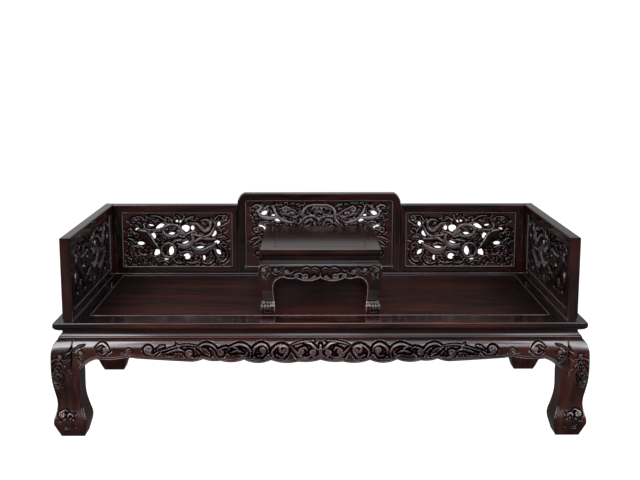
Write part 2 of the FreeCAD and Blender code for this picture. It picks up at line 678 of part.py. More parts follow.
def frame_tenon(f, right, upper, play):
    """The tenon on a rail's end that crosses the mitre into a stile."""
    stile = f.high_stile if right else f.low_stile
    rail = f.top if upper else f.bottom
    near_share, far_share = frame_tenon_share
    near_x, far_x = near_share * stile - play, far_share * stile + play
    near_z, far_z = near_share * rail - play, far_share * rail + play
    if right:
        x_low, x_high = f.x_high - far_x, f.x_high - near_x
    else:
        x_low, x_high = f.x_low + near_x, f.x_low + far_x
    if upper:
        z_low, z_high = f.z_high - far_z, f.z_high - near_z
    else:
        z_low, z_high = f.z_low + near_z, f.z_low + far_z
    middle = (f.y_low + f.y_high) / 2
    half = frame_tenon_thick / 2 + play
    return box(x_low, x_high, middle - half, middle + half, z_low, z_high)


def leaf(x, z, length, width, slope, stretch):
    """A leaf between two arcs in the x-z plane, stretched along x, as a closed wire."""
    turn = math.radians(slope)
    along = point(stretch * math.cos(turn), 0, math.sin(turn)) * (length / 2)
    across = point(-stretch * math.sin(turn), 0, math.cos(turn)) * (width / 2)
    middle = point(x, 0, z)
    tip, tail = middle + along, middle - along
    return Part.Wire([arc(tip, middle + across, tail), arc(tail, middle - across, tip)])


def pierced_panel(f, leaves):
    """A panel with a tongue round its edge, pierced by leaves."""
    middle = (f.y_low + f.y_high) / 2
    panel = plate(panel_outline(f, -panel_gap), middle, panel_thick)
    tongue = panel_outline(f, panel_groove_depth - 2 * joint_play)
    panel = panel.fuse(plate(tongue, middle, panel_tongue_thick))
    half_x = (f.x_high - f.high_stile - f.x_low - f.low_stile) / 2
    half_z = (f.z_high - f.top - f.z_low - f.bottom) / 2
    centre_x = f.x_low + f.low_stile + half_x
    centre_z = f.z_low + f.bottom + half_z
    stretch = half_x / half_z / f.drawn
    cutters = []
    for x_share, z_share, length_share, width_share, slope in leaves:
        wire = leaf(centre_x + x_share * half_x, centre_z + z_share * half_z, length_share * 2 * half_z,
                    width_share * 2 * half_z, slope, stretch)
        cutters.append(plate(wire.Edges, middle, panel_thick + 2 * overrun))
    return panel.cut(Part.makeCompound(cutters)).removeSplitter()


def framed_panel(f, leaves):
    """The two stiles, two rails and pierced panel of one railing section."""
    uncut = [rounded_ring(f)] * 4 if f.corner_run else straight_bars(f)
    groove = plate(panel_outline(f, panel_groove_depth), (f.y_low + f.y_high) / 2,
                   panel_tongue_thick + 2 * joint_play)
    top, bottom, low_stile, high_stile = [bar.cut(groove) for bar in uncut]
    low_left, low_right = (f.x_low, f.z_low), (f.x_high, f.z_low)
    high_left, high_right = (f.x_low, f.z_high), (f.x_high, f.z_high)
    in_low_left = (f.x_low + f.low_stile, f.z_low + f.bottom)
    in_low_right = (f.x_high - f.high_stile, f.z_low + f.bottom)
    in_high_left = (f.x_low + f.low_stile, f.z_high - f.top)
    in_high_right = (f.x_high - f.high_stile, f.z_high - f.top)
    top = top.common(member_prism(f, (high_left, high_right), (in_high_right, in_high_left)))
    bottom = bottom.common(member_prism(f, (low_left, low_right), (in_low_right, in_low_left)))
    low_stile = low_stile.common(member_prism(f, (high_left, low_left), (in_low_left, in_high_left)))
    high_stile = high_stile.common(member_prism(f, (high_right, low_right), (in_low_right, in_high_right)))
    top = top.fuse(frame_tenon(f, False, True, 0)).fuse(frame_tenon(f, True, True, 0))
    bottom = bottom.fuse(frame_tenon(f, False, False, 0)).fuse(frame_tenon(f, True, False, 0))
    for upper in (False, True):
        low_stile = low_stile.cut(frame_tenon(f, False, upper, joint_play))
        high_stile = high_stile.cut(frame_tenon(f, True, upper, joint_play))
    return {"low_stile": low_stile.removeSplitter(), "high_stile": high_stile.removeSplitter(),
            "bottom_rail": bottom.removeSplitter(), "top_rail": top.removeSplitter(),
            "panel": pierced_panel(f, leaves)}


def key(x, y, z, play):
    """A slip dovetail key across a joint at x: straight on its right, flared on its left."""
    half, flared = key_width / 2 + play, key_width / 2 + key_flare + play
    reach = key_reach + play
    low, tall = z - key_height / 2 - play, key_height + 2 * play
    points = [point(x - reach, y - flared, low), point(x, y - half, low), point(x + reach, y - half, low),
              point(x + reach, y + half, low), point(x, y + half, low), point(x - reach, y + flared, low)]
    return polygon_prism(points, point(0, 0, tall))


def pin(x, y, play):
    """A square pin that holds a railing's bottom rail to the seat frame."""
    half = pin_size / 2 + play
    return box(x - half, x + half, y - half, y + half, seat_line() - pin_down - play,
               seat_line() + pin_up + play)


def back_frame(x_low, x_high):
    """Sizes shared by the frames behind the seat."""
    y_high = bed.half_y - railing_inset
    return dict(x_low=x_low, x_high=x_high, y_low=y_high - railing_back_thick, y_high=y_high,
                z_low=seat_line(), bottom=railing_bottom_rail)


def end_inner_x():
    """The inner face of the left end railing."""
    return -bed.half_x + railing_inset + railing_end_thick


flank = SimpleNamespace(**back_frame(end_inner_x(), -centre_width / 2), z_high=bed.top + railing_height,
                        low_stile=railing_stile, high_stile=railing_inner_stile, top=railing_top_rail,
                        corner_run=0, corner_drop=0, opening_round=0, drawn=flank_drawn_share)
centre = SimpleNamespace(**back_frame(-centre_width / 2, centre_width / 2),
                         z_high=bed.top + railing_height + centre_rise, low_stile=centre_member,
                         high_stile=centre_member, top=centre_member, corner_run=centre_corner_run,
                         corner_drop=centre_corner_drop, opening_round=centre_opening_round,
                         drawn=centre_drawn_share)
# The left end is laid out as if it stood behind the seat, its front at low x, and is then turned into place
end = SimpleNamespace(x_low=-bed.half_y + railing_inset, x_high=bed.half_y - railing_inset,
                      y_low=-end_inner_x(), y_high=-end_inner_x() + railing_end_thick, z_low=seat_line(),
                      z_high=bed.top + railing_height, low_stile=railing_stile,
                      high_stile=railing_stile + railing_back_thick, bottom=railing_bottom_rail,
                      top=railing_top_rail, corner_run=0, corner_drop=0, opening_round=0,
                      drawn=end_drawn_share)


def back_middle_y():
    return (flank.y_low + flank.y_high) / 2


def key_heights():
    """Two keys in the height of a flank's stile, clear of its mitres."""
    return [seat_line() + share * railing_height for share in key_height_shares]


def left_keys(play):
    """Keys from the left flank into the end railing and from the centre section into the flank."""
    y = back_middle_y()
    outer = [key(flank.x_low, y, z, play) for z in key_heights()]
    inner = [key(flank.x_high, y, z, play) for z in key_heights()]
    return outer, inner


def left_pins(play):
    """Pins under the left flank and the left end railing, with the centre section's left one."""
    flank_run = flank.x_high - flank.x_low
    end_run = end.x_high - end.x_low
    end_x = (-end.y_low - end.y_high) / 2
    made = [pin(flank.x_low + share * flank_run, back_middle_y(), play) for share in flank_pin_shares]
    made += [pin(end_x, end.x_low + share * end_run, play) for share in end_pin_shares]
    made.append(pin(-centre_pin_share * centre_width, back_middle_y(), play))
    return made


def cut_all(shape, cutters):
    for cutter in cutters:
        shape = shape.cut(cutter)
    return shape


def railing():
    """Every piece of the railing, by node name."""
    outer_keys, inner_keys = left_keys(joint_play)
    pins = left_pins(joint_play)
    left_flank = framed_panel(flank, flank_leaf_shares)
    left_flank["low_stile"] = cut_all(left_flank["low_stile"], outer_keys)
    left_flank["high_stile"] = cut_all(left_flank["high_stile"], inner_keys)
    left_flank["bottom_rail"] = cut_all(left_flank["bottom_rail"], pins)
    both = centre_leaf_shares + tuple((-x, z, length, width, -slope)
                                      for x, z, length, width, slope in centre_leaf_shares)
    middle = framed_panel(centre, both)
    middle["low_stile"] = cut_all(middle["low_stile"], inner_keys)
    middle["high_stile"] = cut_all(middle["high_stile"], [mirror_x(cutter) for cutter in inner_keys])
    middle["bottom_rail"] = cut_all(middle["bottom_rail"], pins + [mirror_x(cutter) for cutter in pins])
    left_end = {name: quarter_turn(shape) for name, shape in framed_panel(end, end_leaf_shares).items()}
    left_end["high_stile"] = cut_all(left_end["high_stile"], outer_keys)
    left_end["bottom_rail"] = cut_all(left_end["bottom_rail"], pins)
    made = {}
    flank_names = {"low_stile": "outer_stile", "high_stile": "inner_stile"}
    end_names = {"low_stile": "front_stile", "high_stile": "rear_stile"}
    centre_names = {"low_stile": "left_stile", "high_stile": "right_stile"}
    for name, shape in middle.items():
        made["back_centre_" + centre_names.get(name, name)] = shape
    for side, place in (("left", lambda shape: shape), ("right", mirror_x)):
        for name, shape in left_flank.items():
            made["back_" + side + "_" + flank_names.get(name, name)] = place(shape)
        for name, shape in left_end.items():
            made["end_" + side + "_" + end_names.get(name, name)] = place(shape)
    keys = [shape for group in left_keys(0) for shape in group]
    made["railing_dovetail_keys"] = Part.makeCompound(keys + [mirror_x(shape) for shape in keys])
    loose = left_pins(0)
    made["railing_seat_pins"] = Part.makeCompound(loose + [mirror_x(shape) for shape in loose])
    return made


# The two stands and the whole object

def four_legs(stand):
    front_left = corner_leg(stand)
    return {"leg_front_left": front_left, "leg_front_right": mirror_x(front_left),
            "leg_rear_left": mirror_y(front_left), "leg_rear_right": mirror_x(mirror_y(front_left))}


def four_sides(stand, make, name):
    """A piece made for the front of a stand, then for its other three sides."""
    turned = SimpleNamespace(**vars(stand))
    turned.half_x, turned.half_y = stand.half_y, stand.half_x
    front, right = make(stand), quarter_turn(make(turned))
    return {name + "_front": front, name + "_rear": mirror_y(front), name + "_right": right,
            name + "_left": mirror_x(right)}


def apron_for(stand_lobes):
    def make(stand):
        return front_apron(stand, stand_lobes(stand))
    return make


def bed_lobes(stand):
    return bed.lobes_x if stand.half_x == bed.half_x else bed.lobes_y


def bed_pieces():
    made = four_legs(bed)
    made.update(four_sides(bed, apron_for(bed_lobes), "apron"))
    made.update(four_sides(bed, front_waist, "waist"))
    pins = left_pins(joint_play)
    pins = pins + [mirror_x(cutter) for cutter in pins]
    front, right = front_rail(bed), cut_all(right_rail(bed), pins)
    made["seat_rail_front"] = front
    made["seat_rail_rear"] = cut_all(mirror_y(front), pins)
    made["seat_rail_right"] = right
    made["seat_rail_left"] = mirror_x(right)
    made["seat_boards"] = Part.makeCompound(boards(bed))
    made["seat_battens"] = Part.makeCompound(battens(bed))
    return made


def table_pieces():
    """The kang table, which stands on the seat boards."""
    made = four_legs(table)
    made.update(four_sides(table, apron_for(lambda stand: table.lobes_x), "apron"))
    made["waist"] = Part.makeCompound(list(four_sides(table, front_waist, "waist").values()))
    front, right = front_rail(table), right_rail(table)
    made["top_rail_front"], made["top_rail_rear"] = front, mirror_y(front)
    made["top_rail_right"], made["top_rail_left"] = right, mirror_x(right)
    made["top_boards"] = Part.makeCompound(boards(table))
    made["top_battens"] = Part.makeCompound(battens(table))
    return {"table_" + name: moved(shape, 0, -table_back_shift, seat_line()) for name, shape in made.items()}


def write(pieces):
    os.makedirs("parts", exist_ok=True)
    for name, shape in pieces.items():
        if not shape.isValid() or shape.Volume <= 0:
            raise ValueError(name + " is not a sound solid")
        shape.exportStep("parts/" + name + ".step")
    print(len(pieces), "nodes,", sum(len(shape.Solids) for shape in pieces.values()), "solids")


everything = {**bed_pieces(), **railing(), **table_pieces()}
write(everything)
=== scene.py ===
import math
from functools import cache
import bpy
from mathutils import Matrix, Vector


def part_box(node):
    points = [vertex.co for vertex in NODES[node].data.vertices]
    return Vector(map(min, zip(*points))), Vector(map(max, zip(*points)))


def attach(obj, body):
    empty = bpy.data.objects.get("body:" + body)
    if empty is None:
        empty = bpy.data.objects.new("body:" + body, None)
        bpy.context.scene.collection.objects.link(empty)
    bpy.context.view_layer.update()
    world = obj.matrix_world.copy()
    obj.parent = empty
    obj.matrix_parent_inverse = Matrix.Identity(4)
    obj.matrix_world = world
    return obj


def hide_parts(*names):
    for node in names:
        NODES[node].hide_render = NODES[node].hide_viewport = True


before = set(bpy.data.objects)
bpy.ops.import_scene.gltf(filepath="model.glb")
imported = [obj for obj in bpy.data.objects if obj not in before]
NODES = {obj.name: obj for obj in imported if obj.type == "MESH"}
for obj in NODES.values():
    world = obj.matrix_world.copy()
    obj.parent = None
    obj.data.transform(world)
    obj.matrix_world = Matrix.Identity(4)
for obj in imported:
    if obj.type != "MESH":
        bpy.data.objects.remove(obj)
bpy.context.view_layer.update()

from types import SimpleNamespace

import bpy
import numpy as np
from mathutils import Vector
from mathutils.bvhtree import BVHTree

bl_info = {
    "name": "Luohan daybed",
    "version": (1, 0, 0),
    "blender": (4, 5, 0),
    "location": "View3D > Sidebar > Daybed",
    "description": "Dresses the daybed's frame with carved panels, aprons, legs, beads and rosewood",
    "category": "Object",
}

MM = 0.001
BED, TABLE = "bed", "kang_table"
LONG_SIDES = ("front", "rear")
# How the front is turned to each side, and how the front left leg is mirrored to each corner
SIDES = {"front": ((1, 0), (0, 1)), "right": ((0, -1), (1, 0)), "left": ((0, 1), (1, 0)),
         "rear": ((1, 0), (0, -1))}
CORNERS = {"front_left": (1, 1), "front_right": (-1, 1), "rear_left": (1, -1), "rear_right": (-1, -1)}
# How far off a leg rays start, and a gap wider than any, in millimetres
OUTSIDE, FAR = 500, 1e3


# Settings

class WoodSettings(bpy.types.PropertyGroup):
    """Colours and gloss of the rosewood."""

    dark: bpy.props.FloatVectorProperty(
        name="Dark vein", description="Colour of the veins", subtype="COLOR", size=3,
        default=(0.0030, 0.0011, 0.0009))
    heart: bpy.props.FloatVectorProperty(
        name="Heartwood", description="Colour between the veins", subtype="COLOR", size=3,
        default=(0.020, 0.0050, 0.0034))
    # Painted highlight, partly wear: this pale lilac-grey lightens beads and carved crests as their glints
    # and sheen would.
    worn: bpy.props.FloatVectorProperty(
        name="Worn wood and highlight", description="Colour of beads and carved crests, where hands have worn the lacquer",
        subtype="COLOR", size=3, default=(0.088, 0.068, 0.072))
    roughness: bpy.props.FloatProperty(
        name="Roughness", description="Roughness of the wood under the lacquer", subtype="FACTOR",
        default=0.3)
    lacquer: bpy.props.FloatProperty(
        name="Lacquer", description="Weight of the clear lacquer", subtype="FACTOR", default=1.0)


class CarvingSettings(bpy.types.PropertyGroup):
    """Depths of the carving."""

    panel_depth: bpy.props.FloatProperty(
        name="Panel depth", description="Depth of the sunk ground between a panel's ribbons", unit="LENGTH",
        default=0.0078)
    apron_depth: bpy.props.FloatProperty(
        name="Apron depth", description="Depth of the ground between the aprons' scrolls", unit="LENGTH",
        default=0.0042)
    pitch: bpy.props.FloatProperty(
        name="Pitch", description="Size of a carved surface's mesh cells", unit="LENGTH", default=0.0021)


class BeadSettings(bpy.types.PropertyGroup):
    """Sizes of the raised beads."""

    edge: bpy.props.FloatProperty(
        name="Edge bead", description="Radius of the bead along the aprons and legs", unit="LENGTH",
        default=0.0029)
    panel: bpy.props.FloatProperty(
        name="Panel bead", description="Radius of the bead round a panel", unit="LENGTH", default=0.0031)
    seam: bpy.props.FloatProperty(
        name="Seam", description="Radius of the line along the seat's seams", unit="LENGTH", default=0.0024)


class StageSettings(bpy.types.PropertyGroup):
    """Light and camera."""

    lens: bpy.props.FloatProperty(
        name="Lens", description="Focal length on a 36 mm wide picture", subtype="DISTANCE_CAMERA",
        default=59.5)
    pitch: bpy.props.FloatProperty(
        name="Pitch", description="How far the camera looks down", subtype="ANGLE", default=0.178)
    light: bpy.props.FloatProperty(
        name="Light", description="Brightness of all the softboxes", default=1.0)


# Meshes

def add_object(name, data):
    made = bpy.data.objects.new(name, data)
    bpy.context.scene.collection.objects.link(made)
    return made


def mesh_of(name, points, faces, relief, sharp):
    """A mesh from points in millimetres, smooth but for edges over an angle, with its carving's height."""
    mesh = bpy.data.meshes.new(name)
    mesh.from_pydata((np.asarray(points) * MM).tolist(), [], faces)
    mesh.validate()
    mesh.shade_smooth()
    mesh.set_sharp_from_angle(angle=math.radians(sharp))
    layer = mesh.attributes.new("relief", "FLOAT", "POINT")
    layer.data.foreach_set("value", np.asarray(relief, np.float32))
    return mesh


def dress(name, mesh, material, body, slot, *replaced):
    """A finished piece: its material, the body it rides on, its finish slot, which is not used, and the nodes
    it stands for.
    """
    piece = add_object(name, mesh)
    mesh.materials.clear()
    mesh.materials.append(material)
    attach(piece, body)
    if replaced:
        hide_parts(*replaced)
    return piece


def ray_tree(node):
    mesh = NODES[node].data
    return BVHTree.FromPolygons([v.co[:] for v in mesh.vertices], [tuple(p.vertices) for p in mesh.polygons])


def cast(tree, start, way):
    """The point in millimetres where a ray meets a node."""
    hit = tree.ray_cast(Vector(start) * MM, Vector(way))[0]
    if hit is None:
        raise RuntimeError(f"A ray from {tuple(start)} misses its node")
    return np.array(hit) / MM


def node_box(node):
    low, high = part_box(node)
    return np.array(low) / MM, np.array(high) / MM


def smooth_step(share):
    share = np.clip(share, 0, 1)
    return share * share * (3 - 2 * share)


def along(path):
    """How far along a path each of its points lies."""
    return np.concatenate([[0], np.cumsum(np.hypot(*np.diff(path, axis=0).T))])


# Carving: strokes with a round section, laid over each other on a sunk ground

# In millimetres: how far past its edge a stroke may change the ground, how far the sunk ground reaches
# past an opening, and how deep a ribbon may cut into what lies under it. Last, the share of a ribbon's
# width that its groove takes up
STROKE_REACH, LEAF_ROOM, CUT, GROOVE = 14, 4, 1.0, 0.72


def through(points, steps=7):
    """A smooth path through points."""
    points = np.array(points, float)
    if len(points) < 3:
        return np.linspace(points[0], points[-1], steps)
    ends = np.vstack([2 * points[0] - points[1], points, 2 * points[-1] - points[-2]])
    path = []
    for a, b, c, d in zip(ends, ends[1:], ends[2:], ends[3:]):
        for t in np.arange(steps) / steps:
            path.append(0.5 * (2 * b + (c - a) * t + (2 * a - 5 * b + 4 * c - d) * t ** 2
                               + (3 * b - a - 3 * c + d) * t ** 3))
    return np.vstack([path, points[-1:]])


def curled(path, radius, turns, hand):
    """A path that runs on into a spiral on its left (hand 1) or right (hand -1)."""
    way = path[-1] - path[-2]
    way = way / np.hypot(*way)
    centre = path[-1] + radius * hand * np.array((-way[1], way[0]))
    start = math.atan2(*(path[-1] - centre)[::-1])
    shares = np.arange(1, int(14 * turns) + 1) / int(14 * turns)
    reach = radius * (1 - 0.78 * shares)
    angle = start + hand * shares * turns * math.tau
    drift = centre + 0.1 * radius * shares[:, None] * np.array((math.cos(start), math.sin(start)))
    return np.vstack([path, drift + reach[:, None] * np.column_stack([np.cos(angle), np.sin(angle)])])


def stroke(points, widths, top=1.2, hollow=0.0, curl=None, room=4.0, filler=False):
    """A carved ribbon. Its half widths spread over its length, and its ground reaches room past its edge.

    curl is (radius, turns, hand). Without a top the stroke is a gouge, hollow deep. A filler leaves
    openings clear.
    """
    path = through(points)
    if curl:
        path = curled(path, *curl)
    run = along(path)
    half = np.interp(run / run[-1], np.linspace(0, 1, len(widths)), widths)
    return SimpleNamespace(path=path, half=half, top=top, hollow=hollow, room=room, filler=filler)


def spread(rows, half_x=100, half_z=100):
    """Strokes from rows drawn in hundredths of two half sizes, by default in millimetres."""
    return [stroke(np.array(row[0]) * (half_x / 100, half_z / 100), *row[1:]) for row in rows]


def ring(x, z, radius_x, radius_z, width, top, hollow):
    angle = np.linspace(0, math.tau, 13)
    return stroke(np.column_stack([x + radius_x * np.cos(angle), z + radius_z * np.sin(angle)]),
                  (width, width * 1.15, width), top, hollow)


def mirrored(strokes):
    return [SimpleNamespace(**{**vars(s), "path": s.path * (-1, 1)}) for s in strokes]


def near(s, points):
    """Which points are near a stroke, their share of its half width and their distance past its edge."""
    reach = s.half.max() + STROKE_REACH
    pick = np.flatnonzero(np.all((points > s.path.min(0) - reach) & (points < s.path.max(0) + reach), axis=1))
    at, share, past = points[pick], np.full(len(pick), np.inf), np.full(len(pick), np.inf)
    for begin, finish, wide, narrow in zip(s.path, s.path[1:], s.half, s.half[1:]):
        step = finish - begin
        t = np.clip(((at - begin) @ step) / max(step @ step, 1e-9), 0, 1)
        off = at - begin - t[:, None] * step
        gap, half = np.hypot(off[:, 0], off[:, 1]), wide + t * (narrow - wide)
        share, past = np.minimum(share, gap / half), np.minimum(past, gap - half)
    return pick, share, past


def leaf_distance(leaf, points):
    """Distance outside a pointed leaf between two arcs: (x, z, length, width, slope) in millimetres."""
    x, z, length, width, slope = leaf
    turn, across = math.radians(slope), points - (x, z)
    a = across[:, 0] * math.cos(turn) + across[:, 1] * math.sin(turn)
    b = np.abs(-across[:, 0] * math.sin(turn) + across[:, 1] * math.cos(turn))
    sag = ((length / 2) ** 2 - (width / 2) ** 2) / width
    radius = sag + width / 2
    beyond = np.abs(a) * sag > (length / 2) * (b + sag)
    return np.where(beyond, np.hypot(np.abs(a) - length / 2, b), np.hypot(a, b + sag) - radius)


def carve(points, strokes, leaves, depth, wall=2.4, trench=(2.4, 2.6)):
    """Height of the carving over points. Each stroke is set off by a trench, deep and wide in millimetres."""
    covers = [near(s, points) for s in strokes]
    reach = np.full(len(points), FAR)
    for s, (pick, _, past) in zip(strokes, covers):
        if s.top is not None:
            reach[pick] = np.minimum(reach[pick], past - s.room)
    for leaf in leaves:
        reach = np.minimum(reach, leaf_distance(leaf, points) - LEAF_ROOM)
    height = -depth * smooth_step(0.5 - reach / wall)
    for s, (pick, share, past) in zip(strokes, covers):
        under, crown = height[pick], np.clip(1 - share ** 3, 0, 1)
        if s.top is None:
            height[pick] = under - s.hollow * np.clip(1 - share ** 2, 0, 1) ** 2
            continue
        cut = trench[0] * np.clip(1 - past / trench[1], 0, 1) ** 1.5
        beside = np.maximum(under - cut, np.minimum(under, -depth))
        groove = s.hollow * np.clip(1 - (share / GROOVE) ** 2, 0, 1)
        dome = -depth + (depth + s.top) * np.sqrt(crown) - groove
        height[pick] = np.where(share < 1, np.maximum(under - CUT, dome), beside)
    return height


# Patterns. Panels are drawn in hundredths of their half sizes, aprons and legs in millimetres. A row is a
# stroke: its points, half widths, top, hollow, curl and room.

FLANK = (
    (((-92, 34), (-84, 36), (-76, 18)), (3, 6, 3), -0.5, 1),
    (((-94, 2), (-86, 2), (-76, -10)), (3, 8, 3), 0, 2.2),
    (((-62, -30), (-70, -23), (-82, -24)), (3, 6, 5), 0, 1.2, (15, 1.3, 1)),
    (((-58, -66), (-66, -58), (-76, -56)), (3, 5, 5), 0, 1, (12, 1.3, 1)),
    (((-34, -72), (-42, -60), (-52, -58)), (3, 5, 5), 0, 1, (10, 1.2, 1)),
    (((-16, -84), (-24, -76), (-34, -78)), (3, 5, 4), 0, 1, (8, 1.2, 1)),
    (((-70, -48), (-60, -58), (-48, -50)), (4, 10, 5), -0.5, 1),
    (((-60, 76), (-68, 82), (-78, 78)), (3, 5.5, 5), 0.5, 1.2, (14, 1.3, 1)),
    (((-22, 68), (-34, 82), (-52, 86)), (3, 6, 3), 0, 1),
    (((-30, 62), (-18, 57), (-6, 53), (4, 56)), (3, 6, 6, 3), 0, 1),
    (((-8, 60), (-14, 76), (-24, 82)), (3, 5.5, 2), 0.2, 1),
    (((2, 62), (4, 78), (-2, 90)), (3, 5.5, 2), 0.6, 1),
    (((8, 64), (12, 80), (10, 93)), (3, 6, 2), 1, 1.2),
    (((14, 64), (22, 78), (31, 86)), (3, 5.5, 2), 0.6, 1),
    (((66, 66), (72, 84), (84, 86)), (3, 5, 5), 0.5, 1.2, (15, 1.3, -1)),
    (((69, 48), (74, 42), (79, 26)), (3, 6, 3), 0, 1),
    (((74, 6), (82, 10), (91, 2)), (2, 6, 2), 0, 1),
    (((79, -6), (86, -16), (91, -28)), (2, 5.5, 2), 0, 1),
    (((-8, -6), (4, -4), (16, -2)), (3, 8, 4), -1, 1),
    (((30, -17), (39, -14), (48, -19)), (3, 7, 3), -1, 1),
    (((-4, -58), (10, -45), (26, -47)), (3, 7, 4), 0, 1),
    (((64, -30), (69, -58), (77, -80), (88, -66), (88, -40), (80, -22)), (3, 6, 6, 6, 5, 3), 0.8, 1.5),
    (((43, -54), (45, -82), (58, -85), (65, -66), (60, -48)), (3, 5.5, 6, 5.5, 3), 0.8, 1.3),
    (((14, -80), (28, -84), (40, -70), (38, -54)), (3, 6, 6, 3), 0.8, 1.3),
    (((-10, -62), (-4, -82), (8, -82), (12, -62)), (3, 5.5, 5.5, 3), 0.8, 1.3),
    (((-14, -20), (-20, -38), (-16, -54)), (3, 6, 2), 0, 1),
    (((-54, 30), (-46, 33), (-36, 31), (-27, 34)), (4, 7, 7, 4), 1, 1),
    (((-61, 56), (-57, 40), (-47, 36), (-34, 36), (-22, 44)), (3, 4.5, 5, 5, 3), 1.4, 1),
    (((-70, 32), (-60, 19), (-52, 2), (-45, -15), (-35, -30)), (9, 23, 22, 17, 7), 0.1),
    (((27, 19), (38, 13), (49, 10), (59, 19), (65, 39), (68, 58)), (6, 8, 9, 9, 6, 3), 1, 1),
    (((25, -26), (32, -7), (41, 4), (53, 2), (68, 2)), (4, 8, 8, 8, 4), 1, 1),
    (((24, -24), (34, -42), (46, -43), (58, -30), (69, -13)), (5, 15, 18, 14, 4), 1.8, 3),
    (((0, -14), (10, -25), (20, -20), (27, -2), (25, 18), (22, 27)), (4, 13, 14, 12, 7, 3), 2, 2.2),
    (((3, 14), (11, 10), (21, 24), (32, 30)), (4, 7, 7, 4), 1, 1),
    (((0, 32), (8, 24), (14, 16)), (6, 15, 6), 1.6, 1.5),
    (((25, 60), (35, 56), (42, 42), (49, 31), (57, 39), (59, 59), (53, 71), (44, 70)),
     (4, 8, 9, 9, 9, 8, 7, 4), 1.8, 1.6),
)
CENTRE = (
    (((-74, 2), (-76, 16), (-84, 18)), (3, 5, 5), 0.8, 1.2, (14, 1.3, 1)),
    (((-66, 20), (-66, 32), (-73, 36)), (3, 4.5, 4.5), 0.8, 1, (11, 1.3, 1)),
    (((-92, -18), (-86, -13), (-78, -9)), (3, 8, 4), 1, 1.6),
    (((-89, -34), (-84, -26), (-80, -20)), (3, 6, 3), 0.6, 1),
    (((-72, -20), (-62, -4), (-50, -6)), (3, 7, 5), 0.5, 1.2, (16, 1.2, -1)),
    (((-58, -80), (-70, -74), (-76, -58)), (4, 8, 5), 0.8, 1.2, (14, 1.2, -1)),
    (((-10, -66), (-24, -78), (-40, -70)), (4, 8, 5), 0.8, 1.2, (15, 1.2, -1)),
    (((-6, 2), (-2, -16), (-14, -26)), (4, 7, 5), 0.5, 1.2, (14, 1.2, -1)),
    (((-4, -34), (-16, -46), (-32, -36), (-46, -48), (-62, -42)), (5, 11, 13, 11, 4), 1.6, 2),
    (((-8, 8), (-22, -8), (-40, -2), (-54, 10), (-68, 2)), (6, 13, 15, 13, 5), 1.8, 2.4),
    (((-10, 70), (-6, 78), (-3, 66)), (3, 6, 3), 0.4, 1),
    (((-4, 64), (-2, 76), (0, 88)), (3, 5, 2), 1, 0.8),
    (((-19, 30), (-13, 40), (-7, 36)), (4, 9, 4), 1.2, 1.5),
    (((0, 24), (2, 44), (12, 51), (20, 44), (22, 28)), (4, 7, 7, 6, 4), 1.2, 1.4),
    (((-28, 28), (-22, 42), (-21, 64), (-16, 79), (-7, 84), (0, 83)), (3, 8, 8, 8, 7, 7), 1.4, 1.4),
    (((-27, 56), (-31, 47), (-38, 50)), (3, 6, 5), 1, 1.2, (11, 1.2, -1)),
    (((-26, 56), (-34, 69), (-44, 78)), (3, 6, 6), 1.2, 1.2, (14, 1.2, 1)),
    (((-62, 82), (-60, 67), (-54, 48), (-46, 36), (-36, 33), (-30, 40)), (4, 7, 8, 8, 6, 3), 1.5, 1.4),
    (((-72, 72), (-67, 82)), (6, 6), 0.8, 1),
    (((-90, 78), (-84, 84), (-78, 77), (-81, 62), (-77, 50), (-66, 45), (-56, 48)),
     (3, 6, 7, 7, 10, 11, 5), 1.8, 1.8),
)
# Openings of the panels: place, length, width and slope. BLIND ones of the centre panel are left closed
FLANK_LEAVES = (
    (-72, 38, 9, 4.5, 20), (-66, -13, 14, 7, 0), (-62, -55, 12, 6, 30), (-47, 52, 11, 4, -10),
    (-44, 12, 14, 10, 70), (-36, -42, 20, 10, 50), (-30, 50, 22, 7, 30), (-20, -68, 12, 5, 10),
    (-12, 20, 16, 6, 20), (-10, -38, 21, 12, 65), (3, 66, 14, 6, 0), (14, 40, 17, 13, 20),
    (10, -15, 25, 5, 30), (16, -60, 13, 11, 0), (27, 42, 10, 7, 80), (38, -30, 20, 6, 15),
    (44, 36, 16, 5, -35), (44, -66, 14, 10, 60), (52, 0, 14, 6, 10), (64, 22, 14, 10, 40),
    (70, -10, 12, 7, 20), (74, 56, 10, 6, 70), (73, -44, 13, 7, -50))
CENTRE_LEAVES = (
    (10, 62, 14, 6, 20), (10, 22, 20, 8, 60), (9, -20, 17, 7, 0), (12, -62, 15, 6, 30), (25, 42, 20, 9, -40),
    (27, -2, 22, 8, 40), (26, -46, 17, 7, -30), (40, 60, 14, 7, 0), (42, 20, 22, 9, 70), (43, -30, 20, 8, 20),
    (44, -66, 14, 6, -20), (58, 46, 20, 10, 40), (60, 2, 20, 9, -50), (60, -44, 18, 8, 60),
    (74, 60, 16, 8, -30), (76, 18, 17, 8, 30), (76, -22, 17, 8, -20), (75, -60, 16, 7, 40))
BLIND = (0, 1, 4, 7, 8, 16)
END_LEAVES = (
    (-78, 50, 18, 8, 40), (-80, 2, 20, 8, 80), (-77, -50, 17, 7, -30), (-62, 30, 22, 9, -20),
    (-60, -26, 24, 9, 50), (-46, 62, 17, 7, 10), (-42, 4, 20, 9, 70), (-44, -60, 17, 7, -20),
    (-26, 40, 22, 10, -50), (-24, -24, 24, 9, 20), (-10, 66, 15, 6, 0), (-7, 10, 20, 9, 80),
    (-8, -62, 18, 7, 30), (12, 36, 24, 10, 40), (12, -26, 22, 9, -40), (29, 66, 16, 7, -20),
    (32, 2, 22, 10, 60), (30, -64, 16, 6, 10), (48, 40, 20, 9, -30), (50, -28, 22, 9, 30),
    (66, 58, 16, 7, 30), (67, 4, 20, 9, -70), (68, -54, 18, 8, 0), (82, 30, 15, 7, 60), (83, -20, 17, 8, -40))


